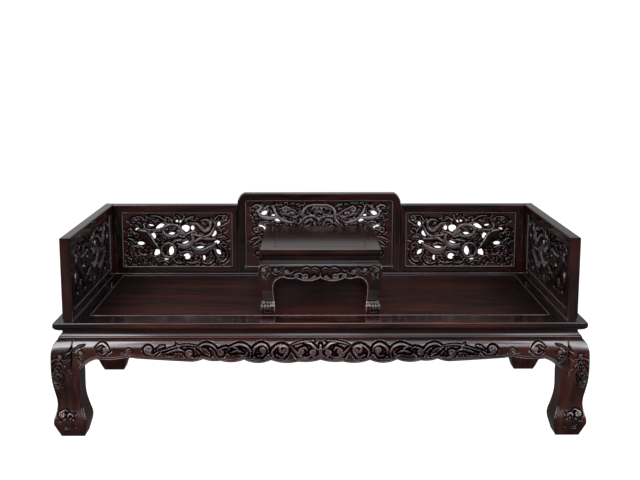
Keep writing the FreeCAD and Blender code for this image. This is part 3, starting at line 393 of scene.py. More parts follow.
def leaves_of(rows, half_x, half_z, grow):
    """The openings in millimetres, longer by grow fiftieths of the half height and wider by half that."""
    return [(x * half_x / 100, z * half_z / 100, (length + grow) * half_z / 50,
             (width + grow / 2) * half_z / 50, slope) for x, z, length, width, slope in rows]


def mirrored_leaves(leaves):
    return [(-x, z, length, width, -slope) for x, z, length, width, slope in leaves]


def cloud_curls(leaves):
    """A small cloud curl hugging each opening, turned by its place."""
    made = []
    for i, (x, z, length, width, slope) in enumerate(leaves):
        hand, turn = 1 if i % 2 else -1, math.radians(slope)
        angle = np.radians(np.arange(0, 220, 30) * hand + 70 * i)
        a, b = (length / 2 + 3) * np.cos(angle), (width / 2 + 5) * np.sin(angle)
        around = np.column_stack([x + a * math.cos(turn) - b * math.sin(turn),
                                  z + a * math.sin(turn) + b * math.cos(turn)])
        made.append(stroke(around, (2.5, 5, 5.5, 4), -0.6, 0.9, (9, 1.1, -hand)))
    return made


def cloud_field(half_x, half_z):
    """Small comma clouds that fill the ground between a panel's ribbons."""
    draw, made, step = np.random.RandomState(11), [], 25.0
    for i, x in enumerate(np.arange(-0.86 * half_x, 0.86 * half_x, step)):
        for j, z in enumerate(np.arange(-0.84 * half_z + 8, 0.82 * half_z, step * 0.86)):
            tip = np.array((x + 0.5 * step * (j % 2), z)) + draw.uniform(-4, 4, 2)
            angle = 2.2 * math.sin(x / 47 + 1) + 1.7 * math.cos(z / 31) + math.pi * (i % 2)
            way, hand = np.array((math.cos(angle), math.sin(angle))), 1 if (i + j) % 2 else -1
            side = hand * np.array((way[1], -way[0]))
            if abs(tip[0]) < 0.87 * half_x:
                points = (tip - 17 * way + 4 * side, tip - 7 * way + 3 * side, tip)
                made.append(stroke(points, (1.5, 4.6, 4), -2.4, 0.8, (7.5, 1.15, hand), 3.0, True))
    return made


def bolder(rows, wider):
    """The same strokes with wider ribbons and larger curls."""
    made = []
    for points, widths, *rest in rows:
        if len(rest) > 2:
            rest[2] = (rest[2][0] * wider, *rest[2][1:])
        made.append((points, tuple(w * wider for w in widths), *rest))
    return made


def panel_pattern(pattern, half_x, half_z):
    """The strokes and the openings of a panel."""
    if pattern == "end":
        strokes = spread(bolder(FLANK[6:], 1.55), half_x, half_z)
        leaves = leaves_of(END_LEAVES, half_x, half_z, 2.0)
    elif pattern == "centre":
        leaves = leaves_of(CENTRE_LEAVES, half_x, half_z, -4.0)
        half_drawn = cloud_curls(leaves) + mirrored(spread(CENTRE, half_x, half_z))
        leaves = [leaf for i, leaf in enumerate(leaves) if i not in BLIND]
        leaves += mirrored_leaves(leaves)
        strokes = [s for s in cloud_field(half_x, half_z)
                   if abs(s.path[0][0]) < 0.78 * half_x or s.path[0][1] > -0.3 * half_z]
        strokes += mirrored(half_drawn) + half_drawn
    else:
        leaves, field = leaves_of(FLANK_LEAVES, half_x, half_z, -1.0), cloud_field(half_x, half_z)
        strokes = field + spread(FLANK, half_x, half_z)
        # Two rings: one under the last ten strokes, one under the last eight
        strokes.insert(len(field) + 25, ring(-0.17 * half_x, -0.38 * half_z, 33, 33, 7, 1.4, 1.4))
        strokes.insert(-8, ring(-0.1 * half_x, 0.32 * half_z, 41, 28, 8, 1.6, 1.4))
        if pattern == "flank_twin":
            strokes, leaves = mirrored(strokes), mirrored_leaves(leaves)
    for s in strokes:
        s.hollow *= 0.4
    return strokes, leaves


# Half of each apron's carving and the carving of a leg's face: heights from the foot, places from an apron's
# middle or from a leg's corner
MIDDLE = (
    (((6, 332), (20, 322), (34, 332)), (3, 6, 5), 2.2, 1, (11, 1.2, 1), 8),
    (((4, 352), (20, 358), (36, 374), (60, 378)), (3, 7, 6, 2), 2.2, 1.2, None, 6),
    (((40, 328), (60, 320), (84, 328), (98, 346)), (3, 6, 6, 2), 2, 1, None, 8),
    (((52, 350), (60, 360), (76, 354)), (3, 5.5, 5), 2.4, 1, (10, 1.2, -1), 8),
    (((112, 364), (97, 346), (78, 330), (66, 318)), (2, 5, 6, 3), 2, 1, None, 8),
    (((20, 385), (60, 383), (100, 374), (126, 360)), (1.5, 3.5, 3.5, 1.5), 1.6, 0, None, 3),
    (((0, 316), (0, 340), (0, 372)), (3, 8, 3), 2.8, 1.4, None, 8),
    (((126, 364), (150, 371), (172, 362), (186, 342), (180, 322)), (2, 4.5, 5, 5, 2), 1.8, 1, None, 7),
    (((168, 332), (146, 322), (130, 340)), (4, 6, 6), 2.4, 1.4, (20, 1.1, -1), 8),
    (((258, 336), (252, 360), (230, 373), (208, 366), (200, 344)), (3, 6, 6, 5, 2), 2.2, 1.4, None, 7),
    (((242, 330), (224, 330), (214, 344)), (3, 5, 5), 2, 1, (11, 1.2, -1), 8),
)
LONG = MIDDLE + (
    (((350, 362), (312, 373), (282, 364), (268, 342), (272, 322)), (2, 5, 6, 5, 2), 2.2, 1.2, None, 6),
    (((296, 342), (318, 348), (346, 342)), (2, 5.5, 3), 1.8, 1, None, 8),
    (((314, 346), (322, 358), (338, 364)), (2, 4, 1.5), 1.8, 0.6),
    (((348, 352), (362, 362), (386, 354)), (2, 5, 5), 2.2, 1, (13, 1.2, -1), 7),
    (((392, 342), (414, 368), (446, 374), (472, 360)), (2, 5, 5, 2.5), 2, 1, None, 6),
    (((464, 360), (446, 348), (424, 332)), (4, 12, 4), 1.6, 3, None, 7),
    (((468, 328), (484, 321), (506, 326)), (2, 5.5, 5), 2.2, 1, (14, 1.3, 1), 6),
    (((472, 367), (520, 371), (564, 362), (604, 350), (624, 346)), (2, 3.5, 3.5, 3, 1.5), 1.6, 0, None, 3),
    (((516, 342), (542, 353), (576, 346), (602, 337)), (2, 5.5, 4.5, 2), 1.8, 1, None, 6),
    (((540, 352), (546, 366), (556, 376)), (2, 4, 1.5), 1.8, 0.6),
    (((556, 330), (578, 326), (602, 331)), (2, 4.5, 2), 1.6, 0.8),
    (((626, 343), (640, 334), (662, 338)), (3, 6, 5.5), 2.4, 1.2, (16, 1.3, 1), 6),
    (((628, 352), (614, 363), (598, 368)), (2, 6, 2), 1.6, 1.6),
    (((722, 343), (736, 357), (750, 343)), (2, 3.5, 2), 1.4, 0, None, 2.5),
    (((754, 348), (762, 342)), (2.5, 1.5), 1.2, 0, None, 2),
    (((808, 348), (820, 367), (840, 377), (862, 362)), (2, 5, 5.5, 2), 2, 1, None, 3.5),
    (((852, 345), (838, 335), (822, 343)), (3, 5.5, 5), 2.2, 1, (10, 1.2, -1)),
    (((906, 372), (926, 366), (942, 350)), (1.5, 3.5, 2), 1.6, 0, None, 2.5),
    (((940, 330), (924, 325), (914, 335)), (2, 4, 3.5), 1.8, 0.6, (8, 1.2, -1), 3),
    (((934, 320), (924, 310), (912, 305)), (2.5, 3, 1), 1.4, 0, None, 2.5),
)
SHORT = MIDDLE + (
    (((322, 362), (300, 371), (278, 360), (268, 340)), (2, 5, 5, 2), 2, 1, None, 5),
    (((280, 334), (296, 326), (314, 334)), (2, 5, 5), 2, 1, (12, 1.3, 1)),
    (((412, 330), (396, 325), (386, 335)), (2, 4, 3.5), 1.8, 0.6, (8, 1.2, -1), 3),
    (((378, 372), (398, 366), (412, 350)), (1.5, 3.5, 2), 1.6, 0, None, 2.5),
)
TABLE_SCROLLS = (
    (((0, 134), (0, 148), (0, 170)), (2.5, 6, 2), 1.8, 1, None, 5),
    (((4, 180), (20, 188), (34, 182)), (1.5, 4, 1.5), 1.4, 0.6, None, 4),
    (((8, 140), (18, 136), (28, 146)), (1.5, 4, 3.5), 1.6, 0.6, (7, 1.2, 1), 5),
    (((26, 160), (36, 146), (54, 140)), (1.5, 4.5, 4), 1.8, 0.8, (14, 1.3, 1), 5),
    (((36, 182), (54, 189), (76, 180)), (1.5, 4.5, 1.5), 1.5, 0.6, None, 4),
    (((66, 152), (76, 166), (94, 164)), (1.5, 4.5, 3.5), 1.7, 0.6, (9, 1.25, -1), 5),
    (((98, 184), (110, 170), (128, 164)), (1.5, 4.2, 3.5), 1.6, 0.6, (9, 1.25, 1), 4),
    (((96, 152), (116, 148), (138, 154)), (1.5, 4, 1.5), 1.4, 0.6),
    (((148, 190), (158, 176), (172, 172)), (1.5, 4, 3), 1.6, 0.6, (8, 1.2, 1)),
)
LEG = (
    (((74, 394), (72, 368), (63, 349), (50, 340)), (2.5, 4.5, 4.5, 2), None, 5),
    (((74, 366), (71, 330), (68, 300), (66, 274)), (3, 6, 5, 1.5), None, 4.5),
    (((68, 338), (59, 321), (42, 313), (26, 317)), (1.5, 2.8, 4, 3.6), 2.2, 0.6, (9, 1.2, -1), 3),
    (((30, 298), (14, 316), (-4, 308), (-6, 294)), (2, 4, 4, 2), 2, 1, None, 3),
    (((26, 294), (38, 294), (48, 277)), (2, 5, 2), 2.2, 1.2, None, 3),
    (((28, 280), (14, 286), (4, 274)), (2, 4, 3.5), 2.2, 1, (8, 1.3, 1), 3),
    (((36, 254), (16, 257), (-6, 246)), (1.5, 3.5, 2), 2, 0.8, None, 3),
    (((36, 244), (28, 227), (10, 219)), (2.5, 4.2, 4.2), 2.2, 1, (18, 1.6, -1), 3),
    (((-4, 226), (8, 207), (34, 202)), (1.5, 3.5, 1.5), 1.8, 0.6, None, 2.5),
    (((50, 276), (56, 273), (61, 266)), (2, 5, 2), 2.4, 0, None, 2),
    (((64, 264), (68, 260), (71, 253)), (1.5, 4, 1.5), 2.2, 0, None, 2),
    (((52, 96), (38, 109), (20, 102)), (2, 5.5, 5), 2.4, 1, (12, 1.3, 1), 3.5),
    (((46, 76), (48, 92), (62, 92), (66, 80)), (2, 5, 5, 2), 2.2, 1, None, 3.5),
    (((110, 84), (96, 72), (80, 80)), (2, 5, 4), 2.2, 1, (9, 1.2, -1), 3.5),
    (((16, 68), (22, 62)), (4, 3), 2.2, 0, None, 2),
    (((28, 48), (36, 38), (50, 40)), (1.5, 4, 1.5), 1.8, 0.6, None, 2.5),
    (((98, 50), (86, 40), (72, 40)), (1.5, 4, 1.5), 1.8, 0.6, None, 2.5),
)
TABLE_LEG = (
    (((39, 186), (28, 193), (13, 187)), (1.5, 4, 3), 1.6, 0.6, (8, 1.2, 1), 2.5),
    (((10, 166), (14, 152), (25, 147)), (1.5, 3.5, 1.5), 1.4, 0.6, None, 2),
    (((36, 172), (30, 160), (34, 150)), (1.2, 3, 1.2), 1.4, 0, None, 2),
) + tuple((((x, 52), (x + 1, 34), (x, 12)), (1.8, 5.2, 2.4), 0, 0, None, 1) for x in (7, 18, 29, 40, 51))


# Carved pieces, in millimetres

# Half a panel's thickness, how deep and how wide its border is rounded, and how far openings stay off ribbons
PANEL_FACE, BORDER_DROP, BORDER_WIDTH, RIBBON_ROOM = 10.0, 2.5, 2.0, 0.4
# Shares of a mesh cell: points this near an opening's edge are moved onto it, and by no more than this
SNAP, SHIFT = 0.62, 0.48
# How far under the bead an apron's or leg's last row lies and its carving ends, and the leg's bevel
UNDER_BEAD, CALM, BEVEL = 0.3, 2, 2.2


def rounded_box(points, half_x, half_z, radius):
    """Distance outside a rectangle with round corners."""
    gap = np.abs(points) - (half_x - radius, half_z - radius)
    return np.hypot(*np.maximum(gap, 0).T) + np.minimum(gap.max(1), 0) - radius


def pierced_mesh(name, half_x, half_z, corner, strokes, leaves, depth, pitch):
    """A panel of two half sizes, carved on both faces and pierced, as a closed shell."""
    columns, rows = int(2 * half_x / pitch) + 5, int(2 * half_z / pitch) + 5
    xs, zs = (np.arange(columns) - (columns - 1) / 2) * pitch, (np.arange(rows) - (rows - 1) / 2) * pitch
    points = np.stack(np.meshgrid(xs, zs, indexing="ij"), -1).reshape(-1, 2)

    hole, clear = np.full(len(points), FAR), np.full(len(points), FAR)
    for leaf in leaves:
        hole = np.minimum(hole, leaf_distance(leaf, points))
    for s in strokes:
        if not s.filler:
            pick, _, past = near(s, points)
            clear[pick] = np.minimum(clear[pick], past)
    level = np.maximum(rounded_box(points, half_x, half_z, corner), -np.maximum(hole, RIBBON_ROOM - clear))
    level = level.reshape(columns, rows)
    slope_x, slope_z = np.gradient(level, pitch)
    steep = np.maximum(slope_x ** 2 + slope_z ** 2, 0.2)
    close = np.abs(level) < SNAP * pitch
    shift = np.stack([slope_x, slope_z], -1) * (-level / steep)[..., None]
    shift = np.clip(shift, -SHIFT * pitch, SHIFT * pitch)
    points = (points.reshape(columns, rows, 2) + np.where(close[..., None], shift, 0)).reshape(-1, 2)
    height = carve(points, strokes, leaves, depth)
    rim = -rounded_box(points, half_x, half_z, corner)
    height -= BORDER_DROP * np.clip(1 - rim / BORDER_WIDTH, 0, 1)

    index = np.arange(columns * rows).reshape(columns, rows)
    cells = np.stack([index[:-1, :-1], index[1:, :-1], index[1:, 1:], index[:-1, 1:]], -1).reshape(-1, 4)
    inside, solid = level.reshape(-1) < -1e-6, ((level < 0) | close).reshape(-1)
    kept = solid[cells]
    faces = [tuple(cell) for cell in cells[kept.all(1) & inside[cells].any(1)]]
    for cell, keep in zip(cells[kept.sum(1) == 3], kept[kept.sum(1) == 3]):
        if inside[cell[keep]].any():
            faces.append(tuple(cell[keep]))
    return close_shell(name, points, height, faces)


def close_shell(name, points, height, faces):
    """Front and back faces joined by walls along every edge that has one face only."""
    used = np.unique(np.concatenate([np.array(f) for f in faces]))
    count, renumber = len(used), np.full(len(points), -1)
    renumber[used] = np.arange(count)
    at, high = points[used], height[used]
    front = np.column_stack([at[:, 0], -PANEL_FACE - high, at[:, 1]])
    rear = np.column_stack([at[:, 0], PANEL_FACE + high, at[:, 1]])
    edges, shell = {}, []
    for f in faces:
        corners = [int(renumber[i]) for i in f]
        shell += [corners, [i + count for i in reversed(corners)]]
        for i, j in zip(corners, corners[1:] + corners[:1]):
            if (j, i) in edges:
                del edges[(j, i)]
            else:
                edges[(i, j)] = True
    shell += [[j, i, i + count, j + count] for i, j in edges]
    return mesh_of(name, np.vstack([front, rear]), shell, np.concatenate([high, high]), 62)


def profile(leg, corner, tall):
    """A leg's outer face and inner face against height, cast on the node, as offsets from its corner."""
    tree = ray_tree(leg)
    heights = np.arange(0.25, tall, 0.5)
    x, y, base = corner
    inside = 0.45 * (node_box(leg)[1][0] - x)
    outer = [cast(tree, (x - OUTSIDE, y + inside, base + z), (1, 0, 0))[0] - x for z in heights]
    inner = [cast(tree, (x + OUTSIDE, y + 1.5 * inside, base + z), (-1, 0, 0))[0] - x for z in heights]
    return SimpleNamespace(heights=heights, outer=np.array(outer), inner=np.array(inner), tall=tall)


def outer_at(shape, z):
    return np.interp(z, shape.heights, shape.outer)


def face_normal(shape, z):
    """Outward and upward parts of the outer face's normal."""
    lean = (outer_at(shape, z + 1.5) - outer_at(shape, z - 1.5)) / 3
    size = np.hypot(1, lean)
    return -1 / size, lean / size


# The bed and the table: shares of the settings' depth, pitch and edge bead, how far under the top bead the
# wood turns dull and painted darker, a painted shade that tones down that band's highlight, and how much,
# the plain margin over the lobed edge, scrolls of the long and short aprons, carving of the legs, woods of
# aprons, legs and first bead, and size, sinking and wood of the seat's line
STANDS = (
    dict(body=BED, prefix="", rails="seat_rail_", depth=1.15, pitch=1.1, bead=1, brow=2.0, dull=0.3,
         margin=7.0, scrolls=(LONG, SHORT), leg=LEG, woods=("apron", "leg", "edge"), line=(1.0, 0.4, "bead")),
    dict(body=TABLE, prefix="table_", rails="table_top_rail_", depth=0.85, pitch=0.62, bead=0.5, brow=10.0,
         dull=0.7, margin=3.0, scrolls=(TABLE_SCROLLS, TABLE_SCROLLS), leg=TABLE_LEG,
         woods=("table", "table", "rim"), line=(0.7, 0.75, "seam")),
)


def measured(stand):
    """A stand with its corner, profile, seam between leg and apron, and post, read from its nodes."""
    leg = stand["prefix"] + "leg_front_left"
    apron_low, apron_high = node_box(stand["prefix"] + "apron_front")
    (x, y, post_top), base = node_box(stand["rails"] + "front")[0], node_box(leg)[0][2]
    tall, thick, ledge = apron_high[2] - base, apron_high[1] - y, apron_low[2] - base
    tree = ray_tree(leg)
    seam = cast(tree, (x + OUTSIDE, y + 0.5 * thick, base + ledge + 3), (-1, 0, 0))[0] - x
    post = [cast(tree, (x - way * OUTSIDE, y + 1.6 * thick, base + tall + 2), (way, 0, 0))[0] - x
            for way in (1, -1)]
    return SimpleNamespace(
        **stand, base=base, corner=(x, y, base), thick=thick,
        middle=(0.0, (node_box(stand["rails"] + "rear")[1][1] + y) / 2), ledge=ledge, seam=seam,
        post=post, post_top=post_top - base, shape=profile(leg, (x, y, base), tall))


def carved_apron(stand, side, reach, strokes, depth, pitch):
    """An apron with its lobed edge, bead, ledge and scrolls as a closed shell, laid out at the front."""
    tree, shape, thick = ray_tree(stand.prefix + "apron_" + side), stand.shape, stand.thick
    across = stand.middle[1] - stand.corner[1] if side in LONG_SIDES else -stand.corner[0]
    turn, centre = np.array(SIDES[side], float), np.array(stand.middle)

    def to_world(x, y, z):
        return np.column_stack([np.column_stack([x, y]) @ turn.T + centre, z])

    half_span = reach - stand.seam
    columns = int(2 * half_span / pitch) + 1
    xs = np.linspace(-half_span, half_span, columns)
    inward = np.full(columns, -across + 0.55 * thick)
    starts = to_world(np.clip(xs, -half_span + 0.2, half_span - 0.2), inward,
                      np.full(columns, stand.base - 20.0))
    low = np.array([cast(tree, start, (0, 0, 1))[2] for start in starts]) - stand.base
    foot, fine = bead_foot(shape), np.arange(8) * 1.0
    shares = np.linspace(0, 1, int((foot - low.min()) / pitch) + 1)[1:]
    rows = [low + offset for offset in fine]
    rows += [low + fine[-1] + share * (foot - UNDER_BEAD - low - fine[-1]) for share in shares]
    rows += [np.full(columns, z) for z in top_rows(shape)]
    z = np.array(rows)
    x = np.broadcast_to(xs, z.shape)
    height = carve(np.column_stack([x.ravel(), z.ravel()]), strokes, [], depth, trench=(0.6, 1.5))
    height = height.reshape(z.shape) * (smooth_step((z - low - stand.margin) / 4) * (z < foot - CALM))
    out, up = face_normal(shape, z)
    y = -across + outer_at(shape, z) + height * out
    lifted = z + height * up * (z < foot - CALM)
    count = len(z)
    points = [to_world(x[i], y[i], lifted[i] + stand.base) for i in range(count)]
    back = np.full(columns, -across + thick)
    points.append(to_world(xs, back, low + stand.base))
    points.append(to_world(xs, back, np.full(columns, shape.tall + stand.base)))

    def at(row, column):
        return row * columns + column

    order = list(range(count)) + [count + 1, count]
    faces = [(at(one, c), at(one, c + 1), at(two, c + 1), at(two, c))
             for one, two in zip(order, order[1:] + order[:1]) for c in range(columns - 1)]
    faces += [[at(row, 0) for row in reversed(order)], [at(row, columns - 1) for row in order]]
    if np.linalg.det(turn) < 0:
        faces = [tuple(reversed(f)) for f in faces]
    # Painted shade: under the top bead the relief is set below the ground, so that band is painted darker as
    # well as dulled.
    relief = np.where(z < foot - stand.brow, height, -stand.dull * depth).ravel()
    mesh = mesh_of(stand.prefix + "carved_apron_" + side, np.vstack(points), faces,
                   np.concatenate([relief, np.zeros(2 * columns)]), 40)
    return SimpleNamespace(mesh=mesh, xs=xs, low=low, to_world=to_world, across=across)


def bead_foot(shape):
    """Height of the step under the bead at a leg's top: where the outer face jumps."""
    jump = np.abs(np.diff(shape.outer))
    upper = shape.heights[:-1] > 0.8 * shape.tall
    return float(shape.heights[:-1][upper][jump[upper].argmax()] + 0.25)


def top_rows(shape):
    """Heights of the rows over the bead and the flat above it."""
    foot, tall = bead_foot(shape), shape.tall
    bead = foot + (tall - foot) * np.array((0.03, 0.08, 0.15, 0.23, 0.31, 0.38, 0.44, 0.5))
    return np.concatenate([bead, np.linspace(bead[-1], tall, 5)[1:]])


def between(start, end, count):
    return [(start[0] + t * (end[0] - start[0]), start[1] + t * (end[1] - start[1]))
            for t in np.linspace(0, 1, count + 1)[1:]]


def carved_leg(stand, name, flips, strokes, depth, pitch):
    """A leg as rings of one outline: its two outer faces carved, its apron notches and its post."""
    shape, ledge, thick = stand.shape, stand.ledge, stand.thick
    foot, steps = bead_foot(shape), int(ledge / pitch)
    heights = np.concatenate([
        np.linspace(0, ledge, steps + 1),
        np.linspace(ledge, foot - UNDER_BEAD, int((foot - ledge) / pitch) + 1), top_rows(shape)])
    face, eighth = int(shape.inner.max() / pitch), np.linspace(0, math.pi / 4, 3)
    rings, reliefs = [], []
    for row, z in enumerate(heights):
        above, out = row > steps, float(outer_at(shape, z))
        inn = float(np.interp(z, shape.heights, shape.inner))
        split = stand.seam if above else min(stand.seam, inn - 8)
        arc, turn = out + BEVEL * (1 - np.cos(eighth)), out + BEVEL * (1 - np.sin(eighth))
        run = np.concatenate([turn[::-1][:-1], np.linspace(out + BEVEL, split, face)])
        lead = np.concatenate([arc[::-1][:-1], np.full(face, out)])
        stops = ((split, out), (split, thick) if above else (inn, out), (inn, thick), (inn, inn))
        half = list(zip(run, lead))
        for start, end, count in zip(stops, stops[1:], (8, 5, 5)):
            half += between(start, end, count)
        half, height, count = np.array(half), np.zeros(len(half)), len(run)
        if z < foot - CALM:
            at = np.column_stack([run, np.full(count, z)])
            height[:count] = carve(at, strokes, [], depth, 1.8, (0.8, 1.5))
            stop = split + (0 if above else 9)
            height[:count] *= smooth_step((run - out) / 9) * smooth_step((stop - run) / 4)
            height[:count] *= smooth_step(z / 10)
        lean_out, lean_up = face_normal(shape, z)
        half[:, 1] += height * lean_out
        ring_height = np.concatenate([height, height[::-1][1:-1]])
        outline = np.vstack([half, half[::-1][:, ::-1][1:-1]])
        rings.append(np.column_stack([outline, z + ring_height * lean_up]))
        # Painted shade: under the top bead the relief is set below the ground, so that band is painted darker
        # as well as dulled.
        reliefs.append(ring_height - (0 if z < foot - stand.brow else stand.dull * depth))
    size = len(rings[0])
    start, last = len(rings) * size, (len(rings) - 1) * size
    faces = [list(range(size))[::-1]]
    for row in range(0, last, size):
        for i in range(size):
            j = (i + 1) % size
            faces.append((row + i, row + j, row + size + j, row + size + i))
    faces.append([last + i for i in range(size)])
    low, high = stand.post
    corners = [(low, low), (high, low), (high, high), (low, high)]
    box = [(x, y, z) for z in (shape.tall - 1, stand.post_top) for x, y in corners]
    box_faces = [(3, 2, 1, 0), (4, 5, 6, 7), (0, 1, 5, 4), (1, 2, 6, 5), (2, 3, 7, 6), (3, 0, 4, 7)]
    faces += [tuple(start + i for i in f) for f in box_faces]
    reliefs.append(np.zeros(len(box)))
    centre = np.array((*stand.middle, 0))
    world = (np.vstack([*rings, box]) + stand.corner - centre) * np.array((*flips, 1)) + centre
    if flips[0] * flips[1] < 0:
        faces = [tuple(reversed(f)) for f in faces]
    return mesh_of(name, world, faces, np.concatenate(reliefs), 40)


# Nodes

def feed(tree, inputs, values):
    """Sets inputs to values or links them to sockets."""
    for name, value in values.items():
        if isinstance(value, bpy.types.NodeSocket):
            tree.links.new(value, inputs[name])
        else:
            inputs[name].default_value = value


def wire(tree, kind, inputs, **settings):
    """A node with its settings and its inputs."""
    node = tree.nodes.new(kind)
    for name, value in settings.items():
        setattr(node, name, value)
    feed(tree, node.inputs, inputs)
    return node


def node_group(name, kind, inputs, outputs):
    """A node group with its sockets, the sockets that it is given and those of its result."""
    tree = bpy.data.node_groups.new(name, kind)
    for way, sockets in (("INPUT", inputs), ("OUTPUT", outputs)):
        for label, socket in sockets.items():
            tree.interface.new_socket(label, in_out=way, socket_type="NodeSocket" + socket)
    return tree, tree.nodes.new("NodeGroupInput").outputs, tree.nodes.new("NodeGroupOutput").inputs


def calc(tree, operation, *values):
    return wire(tree, "ShaderNodeMath", dict(enumerate(values)), operation=operation).outputs[0]


def ramp(tree, value, low=0, high=1, start=0, end=1, smooth=False):
    """A value moved from the range low to high into the range start to end."""
    ranges = {"Value": value, "From Min": low, "From Max": high, "To Min": start, "To Max": end}
    return wire(tree, "ShaderNodeMapRange", ranges,
                interpolation_type="SMOOTHSTEP" if smooth else "LINEAR").outputs["Result"]


def mix(tree, factor, a, b, kind="RGBA", blend="MIX"):
    return wire(tree, "ShaderNodeMix", {"Factor": factor, "A": a, "B": b}, data_type=kind,
                blend_type=blend).outputs["Result"]


def noise(tree, where, scale, detail, distortion=0):
    return wire(tree, "ShaderNodeTexNoise", {"Vector": where, "Scale": scale, "Detail": detail,
                                             "Distortion": distortion}).outputs["Fac"]


# Beads: a small round moulding swept along a path by Geometry Nodes

@cache
def bead_tree():
    """Sweeps a round section along the edges of its mesh. It comes with its inputs' identifiers."""
    tree, given, result = node_group(
        "Swept bead", "GeometryNodeTree",
        {"Path": "Geometry", "Radius": "Float", "Sides": "Int", "Material": "Material"}, {"Bead": "Geometry"})
    curve = wire(tree, "GeometryNodeMeshToCurve", {"Mesh": given["Path"]})
    circle = wire(tree, "GeometryNodeCurvePrimitiveCircle",
                  {"Radius": given["Radius"], "Resolution": given["Sides"]})
    sweep = wire(tree, "GeometryNodeCurveToMesh", {
        "Curve": curve.outputs["Curve"], "Profile Curve": circle.outputs["Curve"], "Fill Caps": True})
    shade = wire(tree, "GeometryNodeSetShadeSmooth", {0: sweep.outputs["Mesh"]})
    real = wire(tree, "GeometryNodeRealizeInstances", {0: shade.outputs[0]})
    paint = wire(tree, "GeometryNodeSetMaterial",
                 {"Geometry": real.outputs[0], "Material": given["Material"]})
    feed(tree, result, {"Bead": paint.outputs["Geometry"]})
    return tree, [item.identifier for item in tree.interface.items_tree if item.in_out == "INPUT"]


def swept_bead(name, paths, closed, radius, material, body, slot):
    """Beads along open or closed paths in millimetres, as one plain mesh."""
    points, edges = [], []
    for path in paths:
        start = len(points)
        points += [tuple(p) for p in np.asarray(path) * MM]
        edges += [(start + i, start + i + 1) for i in range(len(path) - 1)]
        if closed:
            edges.append((start + len(path) - 1, start))
    guide = bpy.data.meshes.new(name + "_path")
    guide.from_pydata(points, edges, [])
    carrier = add_object(name + "_path", guide)
    tree, (_, radius_id, sides_id, material_id) = bead_tree()
    modifier = carrier.modifiers.new("Bead", "NODES")
    modifier.node_group = tree
    modifier[radius_id], modifier[sides_id], modifier[material_id] = radius, 10, material
    bpy.context.view_layer.update()
    graph = bpy.context.evaluated_depsgraph_get()
    mesh = bpy.data.meshes.new_from_object(carrier.evaluated_get(graph), depsgraph=graph)
    mesh.name = name
    bpy.data.objects.remove(carrier)
    bpy.data.meshes.remove(guide)
    return dress(name, mesh, material, body, slot)


# Materials

# The grain is drawn out along an axis of the frame
STRETCH = {"x": (0.16, 1.0, 1.0), "y": (1.0, 0.16, 1.0), "z": (1.0, 1.0, 0.16)}
# For each kind of part: how light its wood is against the settings' colours, which holds the woods' own
# differences and also painted light and shade, as parts are made lighter or darker to match how lit they
# look, the roughness of its lacquer, and how much of the worn colour, partly wear and partly painted
# highlight, shows on the crests of its carving
FINISH = {
    "railing": (0.6, 0.1, 0), "seat": (1.5, 0.13, 0), "boards": (1.5, 0.3, 0), "waist": (0.5, 0.13, 0),
    "panel": (1.0, 0.18, 0.6), "crown": (0.9, 0.18, 1.0), "end": (0.4, 0.18, 1.5), "apron": (1.0, 0.13, 0.35),
    "leg": (1.6, 0.15, 0.25), "table": (0.7, 0.13, 0.55), "edge": (1.2, 0.13, 0), "bead": (0.5, 0.13, 0),
    "rim": (0.9, 0.13, 0)}


@cache
def grain_group():
    """Rosewood grain: dark veins in reddish heartwood, with fine pores."""
    tree, given, result = node_group(
        "Rosewood grain", "ShaderNodeTree", {"Vector": "Vector", "Dark": "Color", "Heart": "Color"},
        {"Colour": "Color", "Vein": "Float", "Pores": "Float"})
    broad, fine = noise(tree, given["Vector"], 9, 5, 0.9), noise(tree, given["Vector"], 42, 4)
    vein = ramp(tree, mix(tree, 0.4, broad, fine, "FLOAT"), 0.38, 0.63, smooth=True)
    feed(tree, result, {"Colour": mix(tree, vein, given["Dark"], given["Heart"]), "Vein": vein,
                        "Pores": noise(tree, given["Vector"], 190, 2)})
    return tree


@cache
def relief_shading_group():
    """Paints shade into a carving's hollows and dulls them, and gives its crests the worn colour, partly wear
    and partly painted highlight, by the height stored on its mesh.
    """
    tree, given, result = node_group(
        "Hollow shade and crest highlight", "ShaderNodeTree",
        {"Colour": "Color", "Worn": "Color", "Crest wear and highlight": "Float", "Vein": "Float", "Relief": "Float",
         "Depth": "Float", "Roughness": "Float", "Lacquer": "Float"},
        {"Colour": "Color", "Roughness": "Float", "Lacquer": "Float"})
    ratio = calc(tree, "DIVIDE", given["Relief"], given["Depth"])
    crest = ramp(tree, ratio, -0.95, -0.15)
    hollow = calc(tree, "SUBTRACT", 1.0, crest)
    # Painted shade: the hollows are multiplied towards a dark tint.
    shade = mix(tree, hollow, given["Colour"], (0.16, 0.13, 0.13, 1), blend="MULTIPLY")
    # The worn colour on the crests is partly wear and partly painted highlight, standing in for glints and
    # sheen.
    high, patch = ramp(tree, ratio, 0.01, 0.13, smooth=True), ramp(tree, given["Vein"], start=0.35)
    crest_wear_highlight = calc(tree, "MULTIPLY", calc(tree, "MULTIPLY", high, patch), given["Crest wear and highlight"])
    feed(tree, result, {
        "Colour": mix(tree, crest_wear_highlight, shade, given["Worn"]),
        "Roughness": calc(tree, "MULTIPLY_ADD", hollow, 0.3, given["Roughness"]),
        "Lacquer": calc(tree, "MULTIPLY", crest, given["Lacquer"])})
    return tree


def new_material(name):
    """A material, its tree and the inputs of its shader."""
    material = bpy.data.materials.new(name)
    material.use_nodes = True
    tree = material.node_tree
    return material, tree, tree.nodes["Principled BSDF"].inputs


